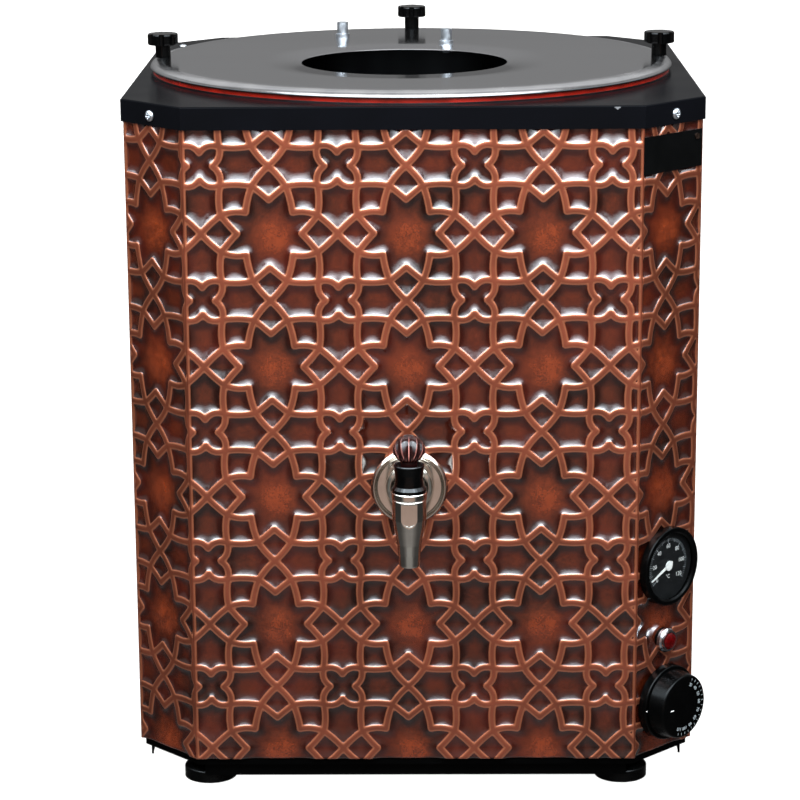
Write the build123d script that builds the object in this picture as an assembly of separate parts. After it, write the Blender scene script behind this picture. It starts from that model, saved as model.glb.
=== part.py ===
from build123d import *
import os
from math import cos, radians, sin, sqrt

# Electric tea maker: an eight-sided embossed sheet body on four feet, with a water tank inside,
# a clamped round lid with a teapot hole, a lever tap at the front and three controls on the
# right front corner. Millimetres, +Z up, -Y is the front, z = 0 is the surface it stands on.

# Driving dimensions of the casing
tray_width = 430.0
tray_leg = 47.8
tray_sheet = 1.2
band_height = 16.8
panel_inset = 1.6
panel_height = 497.8
panel_relief = 2.8
panel_sheet = 0.8
panel_bend_radius = 2.5
panel_lift = 5.6
base_inset = 7.4
base_sheet = 1.2
base_flange_height = 10.0
base_leg = 45.0
base_bend_radius = 1.5
skirt_height = 24.0
skirt_foot_width = 15.0
skirt_sheet = 1.2

# Feet
foot_height = 16.2
foot_radius = 20.0
foot_disc_height = 8.5
foot_neck_radius = 13.0
foot_neck_start = 13.5
foot_edge_radius = 2.0
foot_inset = 48.0
foot_screw_radius = 3.0
foot_screw_head_radius = 5.5
foot_screw_head_height = 3.5
foot_screw_socket_radius = 2.4
foot_recess_depth = 5.0
foot_recess_gap = 1.0
m6_nut_flats = 10.0
m6_nut_height = 5.0

# Tank, its jacket and gasket
tank_x = -2.0
tank_wall = 0.8
under_tank_height = 177.0
tank_floor_sheet = 1.0
tank_corner_radius = 8.0
tank_flange_width = 21.5
socket_radius = 14.0
jacket_thickness = 19.5
jacket_side_gap = 6.2
jacket_bottom_gap = 6.0
jacket_top_gap = 24.0
gasket_thickness = 3.5
gasket_width = 13.5
gasket_inset = 1.0

# Lid and what stands on it
lid_overhang = 1.0
lid_sheet = 1.0
lid_rim_height = 5.2
lid_rim_return = 5.5
lid_edge_radius = 3.2
teapot_hole_radius = 80.0
teapot_hole_offset_x = -5.0
teapot_hole_offset_y = -33.0
teapot_lip_height = 5.0
teapot_lip_edge = 0.8
knob_inset = 9.5
knob_head_radius = 12.0
knob_head_height = 9.0
knob_boss_radius = 6.0
knob_boss_height = 8.4
knob_flutes = 8
knob_flute_radius = 2.3
knob_edge_radius = 1.4
knob_washer_radius = 6.0
knob_washer_thickness = 1.6
knob_stud_radius = 3.0
knob_stud_below_nut = 2.8
shoulder_stud_1 = (-57.6, 132.0)
shoulder_stud_2 = (28.7, 80.5)
shoulder_radius = 4.6
shoulder_height = 9.5
shoulder_flange_radius = 5.7
shoulder_flange_height = 3.0

# Tap
tap_x = -3.5
tap_rise = 38.7
tap_reach = 45.0
rosette_radius = 28.6
rosette_height = 6.0
rosette_boss_radius = 17.5
barrel_radius = 13.0
barrel_length = 29.0
barrel_neck_radius = 8.6
shank_radius = 10.0
shank_length = 20.0
tap_seal_thickness = 2.0
water_way_radius = 6.0
outlet_bore_radius = 5.5
outlet_radius = 7.6
spout_waist_radius = 8.8
spout_waist_drop = 31.5
spout_top_radius = 12.4
spout_top_drop = 13.0
outlet_drop = 47.7
collar_radius = 13.0
collar_height = 4.8
collar_top_rise = 8.8
chamber_radius = 9.0
seat_drop = 7.7
bonnet_height = 20.5
bonnet_base_radius = 12.6
bonnet_base_height = 2.5
bonnet_waist_radius = 10.15
bonnet_rim_radius = 11.3
bonnet_mouth_radius = 9.5
bonnet_mouth_depth = 6.0
bonnet_spigot_height = 4.0
bonnet_web_rise = 3.5
bonnet_web_thickness = 3.0
handle_pivot_below_rim = 5.0
handle_ball_radius = 6.0
handle_neck_radius = 6.2
handle_neck_rise = 3.5
handle_knob_radius = 12.0
handle_knob_bottom_radius = 8.0
handle_knob_height = 18.5
handle_pin_radius = 1.5
handle_slot_width = 6.4
handle_slot_gap = 3.0
stem_radius = 2.5
stem_top_below_slot = 4.0
cup_radius = 7.5
cup_height = 5.0
stem_depth_in_cup = 3.0
spring_wire_radius = 0.6
spring_mean_radius = 4.2
spring_turns = 5

# Controls on the right front corner: places along the corner face and above the floor
thermometer_along = 0.0
thermometer_height = 169.5
thermometer_radius = 30.2
thermometer_flange = 4.0
thermometer_bezel_top = 6.5
thermometer_window_radius = 25.5
thermometer_cup_radius = 26.0
thermometer_wall = 1.5
thermometer_depth = 24.0
dial_thickness = 0.8
dial_level = 1.2
glass_thickness = 1.2
pointer_length = 21.0
pointer_tail = 5.0
pointer_hub_radius = 3.0
pointer_thickness = 0.6
pointer_spindle_radius = 0.8
pointer_rest_angle = 205.0
lamp_along = 0.0
lamp_height = 110.3
lamp_bezel_radius = 9.3
lamp_bezel_height = 3.5
lamp_collar_radius = 7.9
lamp_collar_height = 5.4
lamp_lens_radius = 6.4
lamp_lens_top = 8.2
lamp_body_radius = 6.0
lamp_body_depth = 24.0
thermostat_along = 0.0
thermostat_height = 61.2
thermostat_ring_radius = 29.0
thermostat_ring_height = 7.0
thermostat_knob_radius = 26.5
thermostat_knob_face_radius = 24.5
thermostat_knob_height = 13.2
thermostat_knob_edge = 2.0
thermostat_shaft_radius = 3.0
thermostat_shaft_depth = 14.0
thermostat_bush_radius = 5.0
thermostat_bush_height = 6.0
thermostat_body_size = 38.0
thermostat_body_depth = 28.0

# Plate, screws, rivets and gland
plate_along = -1.0
plate_drop = 36.0
plate_width = 64.0
plate_depth = 27.5
plate_sheet = 1.0
plate_rivet_side = 6.0
plate_rivet_drop = 5.0
rivet_radius = 1.5
rivet_head_radius = 2.3
rivet_head_height = 1.0
seam_rivet_margin = 32.9
seam_rivet_count = 7
tray_screw_radius = 2.0
tray_screw_head_radius = 4.15
tray_screw_head_height = 2.6
tray_screw_length = 9.0
tray_top_screw_head_height = 2.0
tray_top_screw_length = 6.0
tray_top_screw_inset = 20.0
tray_top_screw_y = 150.0
tray_top_screw_head_radius = 3.2
gland_x = 120.0
gland_height = 62.0
gland_bore_radius = 3.6
gland_thread_radius = 7.9
gland_thread_length = 9.0
gland_hex_flats = 22.0
gland_hex_height = 5.0
gland_cap_radius = 9.5
gland_cap_height = 15.0

# Heater and what is under the tank
heater_tube_radius = 4.25
heater_leg_spacing = 24.0
heater_rise = 25.0
heater_half_width = 80.0
heater_inner_bend = 12.0
heater_outer_bend = 40.0
heater_leg_below_flange = 9.0
heater_pin_radius = 2.0
heater_pin_length = 9.0
heater_flange_radius = 35.0
heater_flange_thickness = 3.0
heater_seal_thickness = 2.0
heater_stud_circle = 27.0
heater_stud_radius = 2.5
heater_nut_flats = 8.0
heater_nut_height = 4.0
cutout_place = (60.0, -40.0)
cutout_radius = 9.0
cutout_height = 8.0
bulb_radius = 3.0
bulb_length = 80.0
bulb_x = -20.0
bulb_y = 70.0
capillary_radius = 0.8
capillary_bend = 8.0
capillary_lead = 22.0
capillary_run = 45.0
capillary_entry = 25.0
capillary_loop_length = 50.0
capillary_loop_side = 12.0
capillary_loop_drop = 14.0
thermostat_capillary_drop = 10.0
terminal_block_place = (110.0, 120.0)
terminal_block_size = (60.0, 22.0, 18.0)
terminal_hole_depth = 5.0
wire_radius = 1.8
wire_bend = 6.0
wire_lead = 30.0
wire_run = 45.0
wire_spread = 10.0
wire_climb = 40.0
wire_pin_side = 12.0
wire_pin_drop = 40.0
wire_pin_lead = 20.0
thermostat_wire_lead = 40.0
thermostat_wire_run = 110.0
thermostat_wire_climb = 30.0
thermostat_wire_end = 25.0
thermostat_terminal_offset = 10.0

# Clearances
seat_gap = 0.3
running_gap = 0.05
hole_gap = 0.3
screw_hole_gap = 0.2
stud_hole_gap = 0.6
tray_hole_gap = 1.8

# How far a cut runs past the faces that it opens
cut_past = 1.0
wall_cut = 9.0

# Levels that follow from the stack of pieces
base_top = foot_height + base_sheet
panel_bottom = base_top + panel_lift
panel_top = panel_bottom + panel_height
tray_top = panel_top + tray_sheet
flange_top = tray_top + tank_wall
gasket_top = flange_top + gasket_thickness
lid_top = gasket_top + lid_rim_height
knob_base = lid_top + knob_washer_thickness
tank_floor = panel_bottom + under_tank_height
tank_underside = tank_floor - tank_floor_sheet
jacket_top = tray_top - jacket_top_gap
tap_height = tank_floor + tap_rise
plate_height = panel_top - plate_drop

# Plan sizes that follow; a corner cut's leg shrinks by this much for each unit of inset
DIAGONAL_SHRINK = 2 - sqrt(2)
tray_half = tray_width / 2
panel_half = tray_half - panel_inset
panel_wall = panel_relief + panel_sheet
panel_leg = tray_leg - panel_inset * DIAGONAL_SHRINK
panel_inner_half = panel_half - panel_wall
panel_inner_leg = panel_leg - panel_wall * DIAGONAL_SHRINK
base_half = panel_half - base_inset
foot_x = base_half - foot_inset
foot_y = base_half - base_sheet - seat_gap - foot_radius
jacket_inner_radius = panel_inner_half - jacket_side_gap - jacket_thickness
tank_outer_radius = jacket_inner_radius - seat_gap
tank_radius = tank_outer_radius - tank_wall
tank_flange_radius = tank_radius + tank_flange_width
gasket_outer_radius = tank_flange_radius - gasket_inset
gasket_inner_radius = gasket_outer_radius - gasket_width
lid_radius = tank_flange_radius + lid_overhang
knob_circle_radius = lid_radius - knob_inset
stud_hole_radius = knob_stud_radius + stud_hole_gap
tap_y = -panel_half - tap_reach

parts = {}


def octagon(half, leg, bottom, top):
    """A square prism with its four corners cut at 45 degrees."""
    side = half - leg
    corners = [
        (side, -half), (half, -side), (half, side), (side, half),
        (-side, half), (-half, side), (-half, -side), (-side, -half),
    ]
    outline = make_face(Polyline(*corners, close=True))
    return Pos(0, 0, bottom) * extrude(outline, top - bottom)


def inner_leg(leg, wall):
    """The corner cut's leg after the outline moves in by a wall."""
    return leg - wall * DIAGONAL_SHRINK


def disc(radius, bottom, top, x=0.0, y=0.0):
    """An upright cylinder between two levels."""
    return Pos(x, y, (bottom + top) / 2) * Cylinder(radius, top - bottom)


def ring(outer, inner, bottom, top, x=0.0, y=0.0):
    """An upright tube between two levels."""
    return disc(outer, bottom, top, x, y) - disc(inner, bottom, top, x, y)


def box(width, depth, bottom, top, x=0.0, y=0.0):
    """A block between two levels."""
    return Pos(x, y, (bottom + top) / 2) * Box(width, depth, top - bottom)


def turned(points):
    """A solid turned about Z from an outline of radius and level."""
    outline = make_face(Plane.XZ * Polyline(*points, close=True))
    return revolve(outline, Axis.Z)


def nut(flats, bore, bottom, top, x=0.0, y=0.0):
    """A hexagon nut with a plain bore in place of its thread."""
    blank = Pos(x, y, bottom) * extrude(RegularPolygon(flats / sqrt(3), 6), top - bottom)
    return blank - disc(bore, bottom, top, x, y)


def circular_edges(shape, radius, level):
    """The round edges of one radius at one level."""
    found = []
    for edge in shape.edges().filter_by(GeomType.CIRCLE):
        if abs(edge.radius - radius) < 0.01 and abs(edge.center().Z - level) < 0.01:
            found.append(edge)
    return found


def corner_place(along, height, lift=0.0):
    """A place on the right front corner face: x along it to the back, y up, z outwards."""
    middle = panel_half - panel_leg / 2
    slant = sqrt(0.5)
    origin = (middle + slant * (along + lift), -middle + slant * (along - lift), height)
    return Plane(origin=origin, x_dir=(slant, slant, 0), z_dir=(slant, -slant, 0)).location


def front_place(x, height, y):
    """A place whose z axis points out of the front and whose y axis points up."""
    return Plane(origin=(x, y, height), x_dir=(1, 0, 0), z_dir=(0, -1, 0)).location


def back_place(x, height, y):
    """A place whose z axis points out of the back and whose y axis points up."""
    return Plane(origin=(x, y, height), x_dir=(-1, 0, 0), z_dir=(0, 1, 0)).location


def tube_along(points, radii, radius):
    """A round bar that follows straight runs joined by tangent arcs."""
    path = FilletPolyline(*points, radius=radii)
    start = Plane(origin=path @ 0, z_dir=path % 0)
    return sweep(start * Circle(radius), path=path)


def knob_places():
    """The three clamp places on the lid, by name."""
    return {
        "left": (tank_x - knob_circle_radius, 0.0),
        "right": (tank_x + knob_circle_radius, 0.0),
        "rear": (tank_x, knob_circle_radius),
    }


def foot_places():
    """The four feet, by name."""
    return {
        "front_left": (-foot_x, -foot_y),
        "front_right": (foot_x, -foot_y),
        "rear_left": (-foot_x, foot_y),
        "rear_right": (foot_x, foot_y),
    }


def make_base():
    """The base tray, the skirt ring that stands on it, and the feet with their screws."""
    flange_bottom = base_top - base_flange_height
    tray = octagon(base_half, base_leg, flange_bottom, base_top)
    tray = fillet(tray.faces().sort_by(Axis.Z)[-1].edges(), base_bend_radius)
    wall_leg = inner_leg(base_leg, base_sheet)
    tray -= octagon(base_half - base_sheet, wall_leg, flange_bottom, foot_height)
    corner = base_half - base_leg / 2
    for turn in range(4):
        notch = box(base_leg, base_leg, flange_bottom, foot_height, corner, corner)
        tray -= Rot(0, 0, 90 * turn) * notch

    skirt_half = panel_inner_half
    skirt_leg = panel_inner_leg
    skirt_top = base_top + skirt_height
    skirt = octagon(skirt_half, skirt_leg, base_top, skirt_top)
    wall_leg = inner_leg(skirt_leg, skirt_sheet)
    skirt -= octagon(skirt_half - skirt_sheet, wall_leg, base_top + skirt_sheet, skirt_top)
    foot_leg = inner_leg(skirt_leg, skirt_foot_width)
    opening_top = base_top + skirt_sheet
    skirt -= octagon(skirt_half - skirt_foot_width, foot_leg, base_top, opening_top)

    screw_hole = foot_screw_radius + screw_hole_gap
    screws = []
    nuts = []
    for name, (x, y) in foot_places().items():
        foot = turned([
            (0, 0), (foot_radius, 0), (foot_radius, foot_disc_height),
            (foot_neck_radius, foot_neck_start), (foot_neck_radius, foot_height), (0, foot_height),
        ])
        foot = fillet(circular_edges(foot, foot_radius, foot_disc_height), foot_edge_radius)
        foot -= disc(screw_hole, 0, foot_height)
        foot -= disc(foot_screw_head_radius + foot_recess_gap, 0, foot_recess_depth)
        parts[name + "_foot"] = Pos(x, y, 0) * foot
        tray -= disc(screw_hole, foot_height, base_top, x, y)
        head_bottom = foot_recess_depth - foot_screw_head_height
        nut_top = base_top + m6_nut_height
        screw = disc(foot_screw_head_radius, head_bottom, foot_recess_depth)
        screw += disc(foot_screw_radius, foot_recess_depth, nut_top + 2)
        hexagon = RegularPolygon(foot_screw_socket_radius, 6)
        socket = extrude(hexagon, foot_screw_head_height / 2)
        screw -= Pos(0, 0, head_bottom) * socket
        screws.append(Pos(x, y, 0) * screw)
        nuts.append(nut(m6_nut_flats, screw_hole, base_top, nut_top, x, y))
    parts["base_tray"] = tray
    parts["skirt_ring"] = skirt
    parts["foot_screws"] = Compound(screws)
    parts["foot_nuts"] = Compound(nuts)


def make_casing():
    """The body panel as its plain sheet with turned-in edges, the top tray, screws and rivets."""
    panel = octagon(panel_half, panel_leg, panel_bottom, panel_top)
    panel = fillet(panel.edges().filter_by(Axis.Z), panel_bend_radius)
    skin_half = panel_half - panel_sheet
    skin_leg = inner_leg(panel_leg, panel_sheet)
    skin = octagon(skin_half, skin_leg, panel_bottom + panel_sheet, panel_top - panel_sheet)
    panel -= fillet(skin.edges().filter_by(Axis.Z), panel_bend_radius - panel_sheet)
    panel -= octagon(panel_inner_half, panel_inner_leg, panel_bottom, panel_top)

    tray_bottom = tray_top - band_height
    tray = octagon(tray_half, tray_leg, tray_bottom, tray_top)
    tray = fillet(tray.faces().sort_by(Axis.Z)[-1].edges(), tray_sheet)
    inner_half = tray_half - tray_sheet
    tray -= octagon(inner_half, inner_leg(tray_leg, tray_sheet), tray_bottom, panel_top)
    tray -= disc(tank_outer_radius + tray_hole_gap, tray_bottom, tray_top + cut_past, tank_x)
    for x, y in knob_places().values():
        tray -= disc(stud_hole_radius, tray_bottom, tray_top + cut_past, x, y)

    # One pan head screw through the band on each cut corner
    level = tray_top - band_height / 2 - 1
    face_distance = (2 * tray_half - tray_leg) / sqrt(2)
    head = turned([
        (0, 0), (tray_screw_head_radius, 0),
        (tray_screw_head_radius, tray_screw_head_height * 0.45),
        (tray_screw_head_radius * 0.7, tray_screw_head_height * 0.9),
        (0, tray_screw_head_height),
    ])
    screw = head + disc(tray_screw_radius, -tray_screw_length, 0)
    hole = disc(tray_screw_radius + screw_hole_gap, -tray_screw_length, 1)
    screws = []
    for turn in range(4):
        angle = radians(90 * turn - 45)
        origin = (face_distance * cos(angle), face_distance * sin(angle), level)
        place = Plane(origin=origin, z_dir=(cos(angle), sin(angle), 0)).location
        screws.append(place * screw)
        tray -= place * hole
        panel -= place * hole
    top_x, top_y = -tray_half + tray_top_screw_inset, tray_top_screw_y
    small = disc(tray_top_screw_head_radius, tray_top, tray_top + tray_top_screw_head_height)
    small_end = tray_top - tray_top_screw_length
    small += disc(tray_screw_radius, small_end, tray_top)
    small_hole = disc(tray_screw_radius + screw_hole_gap, small_end, tray_top + cut_past)
    tray -= Pos(top_x, top_y, 0) * small_hole
    screws.append(Pos(top_x, top_y, 0) * small)

    # Openings in the panel for the tap, the controls and the cable gland
    tap_hole = disc(barrel_radius + hole_gap, -wall_cut, wall_cut)
    panel -= front_place(tap_x, tap_height, -panel_half) * tap_hole
    thermometer_hole = disc(thermometer_cup_radius + hole_gap, -wall_cut, wall_cut)
    panel -= corner_place(thermometer_along, thermometer_height) * thermometer_hole
    lamp_hole = disc(lamp_body_radius + hole_gap, -wall_cut, wall_cut)
    panel -= corner_place(lamp_along, lamp_height) * lamp_hole
    bush_hole = disc(thermostat_bush_radius + hole_gap, -wall_cut, wall_cut)
    panel -= corner_place(thermostat_along, thermostat_height) * bush_hole
    gland_hole = disc(gland_thread_radius + hole_gap, -wall_cut, wall_cut)
    panel -= back_place(gland_x, gland_height, panel_half) * gland_hole

    # Rivets: a row down the rear seam, and one at the plate's upper corner
    rivet = disc(rivet_head_radius, 0, rivet_head_height)
    rivet += disc(rivet_radius, -panel_wall, 0)
    rivet_hole = disc(rivet_radius, -panel_wall - cut_past, cut_past)
    rivets = []
    seam_rivet_pitch = (panel_height - 2 * seam_rivet_margin) / (seam_rivet_count - 1)
    for index in range(seam_rivet_count):
        height = panel_bottom + seam_rivet_margin + index * seam_rivet_pitch
        place = back_place(0, height, panel_half)
        rivets.append(place * rivet)
        panel -= place * rivet_hole
    plate_rivet_along = plate_along + plate_width / 2 - plate_rivet_side
    plate_rivet_height = plate_height + plate_depth / 2 - plate_rivet_drop
    panel -= corner_place(plate_rivet_along, plate_rivet_height) * rivet_hole
    raised = corner_place(plate_rivet_along, plate_rivet_height, plate_sheet)
    rivets.append(raised * (rivet + disc(rivet_radius, -panel_wall - plate_sheet, 0)))
    plate = corner_place(plate_along, plate_height) * box(plate_width, plate_depth, 0, plate_sheet)
    plate -= raised * disc(rivet_radius, -plate_sheet - cut_past, cut_past)

    parts["body_panel"] = panel
    parts["top_tray"] = tray
    parts["tray_screws"] = Compound(screws)
    parts["panel_rivets"] = Compound(rivets)
    parts["label_plate"] = plate


def make_tank():
    """The tank with its welded tap socket and heater studs, its jacket and the lid's gasket."""
    tank = disc(tank_outer_radius, tank_underside, tray_top)
    tank = fillet(circular_edges(tank, tank_outer_radius, tank_underside), tank_corner_radius)
    tank += disc(tank_flange_radius, tray_top, flange_top)
    hollow = disc(tank_radius, tank_floor, flange_top + cut_past)
    inside_corner = tank_corner_radius - tank_wall
    hollow = fillet(circular_edges(hollow, tank_radius, tank_floor), inside_corner)
    tank = Pos(tank_x, 0, 0) * (tank - hollow)

    # The socket stands on the front wall and takes the tap's shank
    wall_at_tap = sqrt(tank_outer_radius ** 2 - (abs(tap_x - tank_x) + socket_radius) ** 2)
    socket_face = -panel_inner_half + tap_seal_thickness
    root = wall_at_tap - tank_wall / 2
    socket = front_place(tap_x, tap_height, 0) * disc(socket_radius, root, -socket_face)
    socket -= disc(tank_radius + tank_wall / 2, tank_floor, tray_top, tank_x)
    tank += socket
    bore = disc(shank_radius + running_gap, root - 5, -socket_face + cut_past)
    tank -= front_place(tap_x, tap_height, 0) * bore

    for x, y in knob_places().values():
        tank -= disc(stud_hole_radius, tray_top - cut_past, flange_top + cut_past, x, y)
    half_spacing = heater_leg_spacing / 2
    for side in (-1, 1):
        leg_hole = heater_tube_radius + screw_hole_gap
        x = tank_x + side * half_spacing
        tank -= disc(leg_hole, tank_underside - cut_past, tank_floor + cut_past, x)
    flange_bottom = tank_underside - heater_seal_thickness - heater_flange_thickness
    stud_end = flange_bottom - heater_nut_height - 2
    for x, y in heater_stud_places():
        tank += disc(heater_stud_radius, stud_end, tank_underside, x, y)
    parts["tank"] = tank

    jacket_bottom = tank_floor + jacket_bottom_gap
    jacket_outer = jacket_inner_radius + jacket_thickness
    jacket = ring(jacket_outer, jacket_inner_radius, jacket_bottom, jacket_top, tank_x)
    opening = disc(socket_radius + 1, 0, panel_half)
    parts["insulation_jacket"] = jacket - front_place(tap_x, tap_height, 0) * opening

    gasket = ring(gasket_outer_radius, gasket_inner_radius, flange_top, gasket_top, tank_x)
    nuts = []
    for x, y in knob_places().values():
        gasket -= disc(stud_hole_radius, flange_top - cut_past, gasket_top + cut_past, x, y)
        bore = knob_stud_radius + hole_gap
        nuts.append(nut(m6_nut_flats, bore, panel_top - m6_nut_height, panel_top, x, y))
    parts["lid_gasket"] = gasket
    parts["knob_weld_nuts"] = Compound(nuts)


def heater_stud_places():
    """The four welded studs round the heater's hole."""
    places = []
    for turn in range(4):
        angle = radians(45 + 90 * turn)
        x = tank_x + heater_stud_circle * cos(angle)
        places.append((x, heater_stud_circle * sin(angle)))
    return places


def make_lid():
    """The lid sheet with its rolled rim and teapot lip, its studs, and the three clamp knobs."""
    rim_bottom = gasket_top
    under = lid_top - lid_sheet
    lid = disc(lid_radius, rim_bottom, lid_top)
    lid = fillet(circular_edges(lid, lid_radius, lid_top), lid_edge_radius)
    inner = lid_radius - lid_sheet
    hollow = disc(inner, rim_bottom + lid_sheet, under)
    hollow = fillet(circular_edges(hollow, inner, under), lid_edge_radius - lid_sheet)
    lid -= hollow
    lid -= disc(lid_radius - lid_rim_return, rim_bottom, rim_bottom + lid_sheet)
    x = teapot_hole_offset_x
    y = teapot_hole_offset_y
    lip_bottom = lid_top - teapot_lip_height
    lid += disc(teapot_hole_radius + lid_sheet, lip_bottom, lid_top, x, y)
    lid -= disc(teapot_hole_radius, lip_bottom, lid_top, x, y)
    lid = fillet(circular_edges(lid, teapot_hole_radius, lid_top), teapot_lip_edge)
    lid = Pos(tank_x, 0, 0) * lid

    nut_bottom = under - m6_nut_height
    studs = []
    nuts = []
    for place in (shoulder_stud_1, shoulder_stud_2):
        x = tank_x + place[0]
        y = place[1]
        shoulder_top = lid_top + shoulder_flange_height
        stud = disc(shoulder_flange_radius, lid_top, shoulder_top, x, y)
        stud += disc(shoulder_radius, shoulder_top, shoulder_top + shoulder_height, x, y)
        stud += disc(knob_stud_radius, nut_bottom - 1, lid_top, x, y)
        studs.append(stud)
        hole = knob_stud_radius + screw_hole_gap
        lid -= disc(hole, under - cut_past, lid_top + cut_past, x, y)
        nuts.append(nut(m6_nut_flats, hole, nut_bottom, under, x, y))
    parts["lid_studs"] = Compound(studs)
    parts["lid_stud_nuts"] = Compound(nuts)

    head_bottom = knob_base + knob_boss_height
    head_top = head_bottom + knob_head_height
    head = disc(knob_head_radius, head_bottom, head_top)
    rims = circular_edges(head, knob_head_radius, head_bottom)
    rims += circular_edges(head, knob_head_radius, head_top)
    head = fillet(rims, knob_edge_radius)
    for flute in range(knob_flutes):
        angle = radians(360 / knob_flutes * flute)
        reach = knob_head_radius + knob_flute_radius / 4
        x = reach * cos(angle)
        y = reach * sin(angle)
        head -= disc(knob_flute_radius, head_bottom, head_top, x, y)
    stud_bottom = panel_top - m6_nut_height - knob_stud_below_nut
    stud_top = head_bottom + knob_head_height / 2
    knob = head + disc(knob_boss_radius, knob_base, head_bottom)
    knob -= disc(knob_stud_radius, knob_base, stud_top)
    stud = disc(knob_stud_radius, stud_bottom, stud_top)
    washer_bore = knob_stud_radius + hole_gap
    washer = ring(knob_washer_radius, washer_bore, lid_top, knob_base)
    for name, (x, y) in knob_places().items():
        parts[name + "_lid_knob"] = Pos(x, y, 0) * knob
        parts[name + "_knob_stud"] = Pos(x, y, 0) * stud
        parts[name + "_knob_washer"] = Pos(x, y, 0) * washer
        lid -= disc(stud_hole_radius, rim_bottom, lid_top + cut_past, x, y)
    parts["lid"] = lid


def make_tap():
    """The tap: rosette, body, seal, bonnet, lever handle and pin, stem, seat cup and spring."""
    wall = front_place(tap_x, tap_height, -panel_half)
    rosette = turned([
        (barrel_radius + running_gap, 0), (rosette_radius, 0), (rosette_radius, 2.0),
        (rosette_radius - 1.2, 4.6), (rosette_radius - 3.4, rosette_height),
        (rosette_radius - 5.6, 4.6), (rosette_radius - 6.6, 3.0),
        (rosette_boss_radius + 1.5, 2.6), (rosette_boss_radius, 3.4),
        (rosette_boss_radius - 1.2, rosette_height), (barrel_radius + running_gap, rosette_height),
    ])
    parts["tap_rosette"] = wall * rosette

    # Levels of the upright part
    outlet = tap_height - outlet_drop
    collar_top = tap_height + collar_top_rise
    collar_bottom = collar_top - collar_height
    seat = tap_height - seat_drop
    upright = turned([
        (0, outlet), (outlet_radius, outlet),
        (spout_waist_radius, tap_height - spout_waist_drop),
        (spout_top_radius, tap_height - spout_top_drop), (spout_top_radius, collar_bottom - 1),
        (spout_top_radius - 0.8, collar_bottom), (collar_radius, collar_bottom),
        (collar_radius, collar_top), (0, collar_top),
    ])
    body = Pos(tap_x, tap_y, 0) * upright
    shoulder = panel_inner_half - panel_half
    shank_end = shoulder - shank_length
    body += wall * disc(barrel_neck_radius, 0, tap_reach)
    body += wall * disc(barrel_radius, shoulder, barrel_length)
    body += wall * disc(shank_radius, shank_end, shoulder)
    body -= disc(chamber_radius, seat, collar_top, tap_x, tap_y)
    body -= disc(outlet_bore_radius, outlet, seat, tap_x, tap_y)
    body -= wall * disc(water_way_radius, shank_end, tap_reach)
    parts["tap_body"] = body
    seal = ring(barrel_radius, shank_radius + running_gap, shoulder - tap_seal_thickness, shoulder)
    parts["tap_seal"] = wall * seal

    # Bonnet with its spring chamber below a web and the flared mouth above it
    rim = collar_top + bonnet_height
    spigot_bottom = collar_top - bonnet_spigot_height
    spigot_radius = chamber_radius - hole_gap
    web_bottom = collar_top + bonnet_web_rise
    web_top = web_bottom + bonnet_web_thickness
    mouth_bottom = rim - bonnet_mouth_depth
    cavity_radius = handle_ball_radius + 2 * hole_gap
    waist = collar_top + bonnet_height * 0.45
    bonnet = turned([
        (0, spigot_bottom), (spigot_radius, spigot_bottom), (spigot_radius, collar_top),
        (bonnet_base_radius, collar_top), (bonnet_base_radius, collar_top + bonnet_base_height),
        (bonnet_waist_radius + 0.6, collar_top + bonnet_base_height + 2.2),
        (bonnet_waist_radius, waist), (bonnet_waist_radius + 0.2, waist + 4),
        (bonnet_rim_radius - 0.2, rim - 2), (bonnet_rim_radius, rim - 0.6),
        (bonnet_rim_radius - 0.5, rim), (0, rim),
    ])
    bonnet -= disc(chamber_radius - 2.5, spigot_bottom, web_bottom)
    bonnet -= disc(stem_radius + hole_gap, web_bottom, web_top)
    bonnet -= disc(cavity_radius, web_top, mouth_bottom)
    bonnet -= turned([
        (0, mouth_bottom), (cavity_radius, mouth_bottom), (bonnet_mouth_radius, rim), (0, rim),
    ])
    pivot = rim - handle_pivot_below_rim
    across = Plane(origin=(0, 0, pivot), x_dir=(0, 1, 0), z_dir=(1, 0, 0)).location
    pin_half = bonnet_waist_radius - 0.4
    pin = across * disc(handle_pin_radius, -pin_half, pin_half)
    bonnet -= pin
    place = Pos(tap_x, tap_y, 0)
    parts["tap_bonnet"] = place * bonnet
    parts["tap_handle_pin"] = place * pin

    # Handle: pivot ball with a slot for the stem, neck, and a domed knob
    knob_bottom = rim + handle_neck_rise
    top = knob_bottom + handle_knob_height
    widest = top - handle_knob_radius
    dome_reach = handle_knob_radius * sqrt(0.5)
    dome_middle = (dome_reach, widest + dome_reach)
    ball = handle_ball_radius
    ball_end = radians(20)
    ball_side = (ball * cos(radians(35)), pivot - ball * sin(radians(35)))
    ball_top = (ball * cos(ball_end), pivot + ball * sin(ball_end))
    outline = ThreePointArc((0, pivot - ball), ball_side, ball_top)
    outline += Polyline(
        ball_top, (handle_neck_radius, rim), (handle_neck_radius, knob_bottom),
        (handle_knob_bottom_radius, knob_bottom), (handle_knob_radius, widest),
    )
    outline += ThreePointArc((handle_knob_radius, widest), dome_middle, (0, top))
    outline += Line((0, top), (0, pivot - ball))
    handle = revolve(Plane.XZ * make_face(outline), Axis.Z)
    slot_top = pivot - handle_slot_gap
    handle -= box(handle_slot_width, 3 * ball, pivot - 2 * ball, slot_top)
    handle -= across * disc(handle_pin_radius + running_gap, -2 * ball, 2 * ball)
    parts["tap_handle"] = place * handle

    cup = disc(cup_radius, seat, seat + cup_height)
    stem_bottom = seat + cup_height - stem_depth_in_cup
    cup -= disc(stem_radius, stem_bottom, seat + cup_height)
    parts["tap_seat_cup"] = place * cup
    parts["tap_stem"] = place * disc(stem_radius, stem_bottom, slot_top - stem_top_below_slot)

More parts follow.
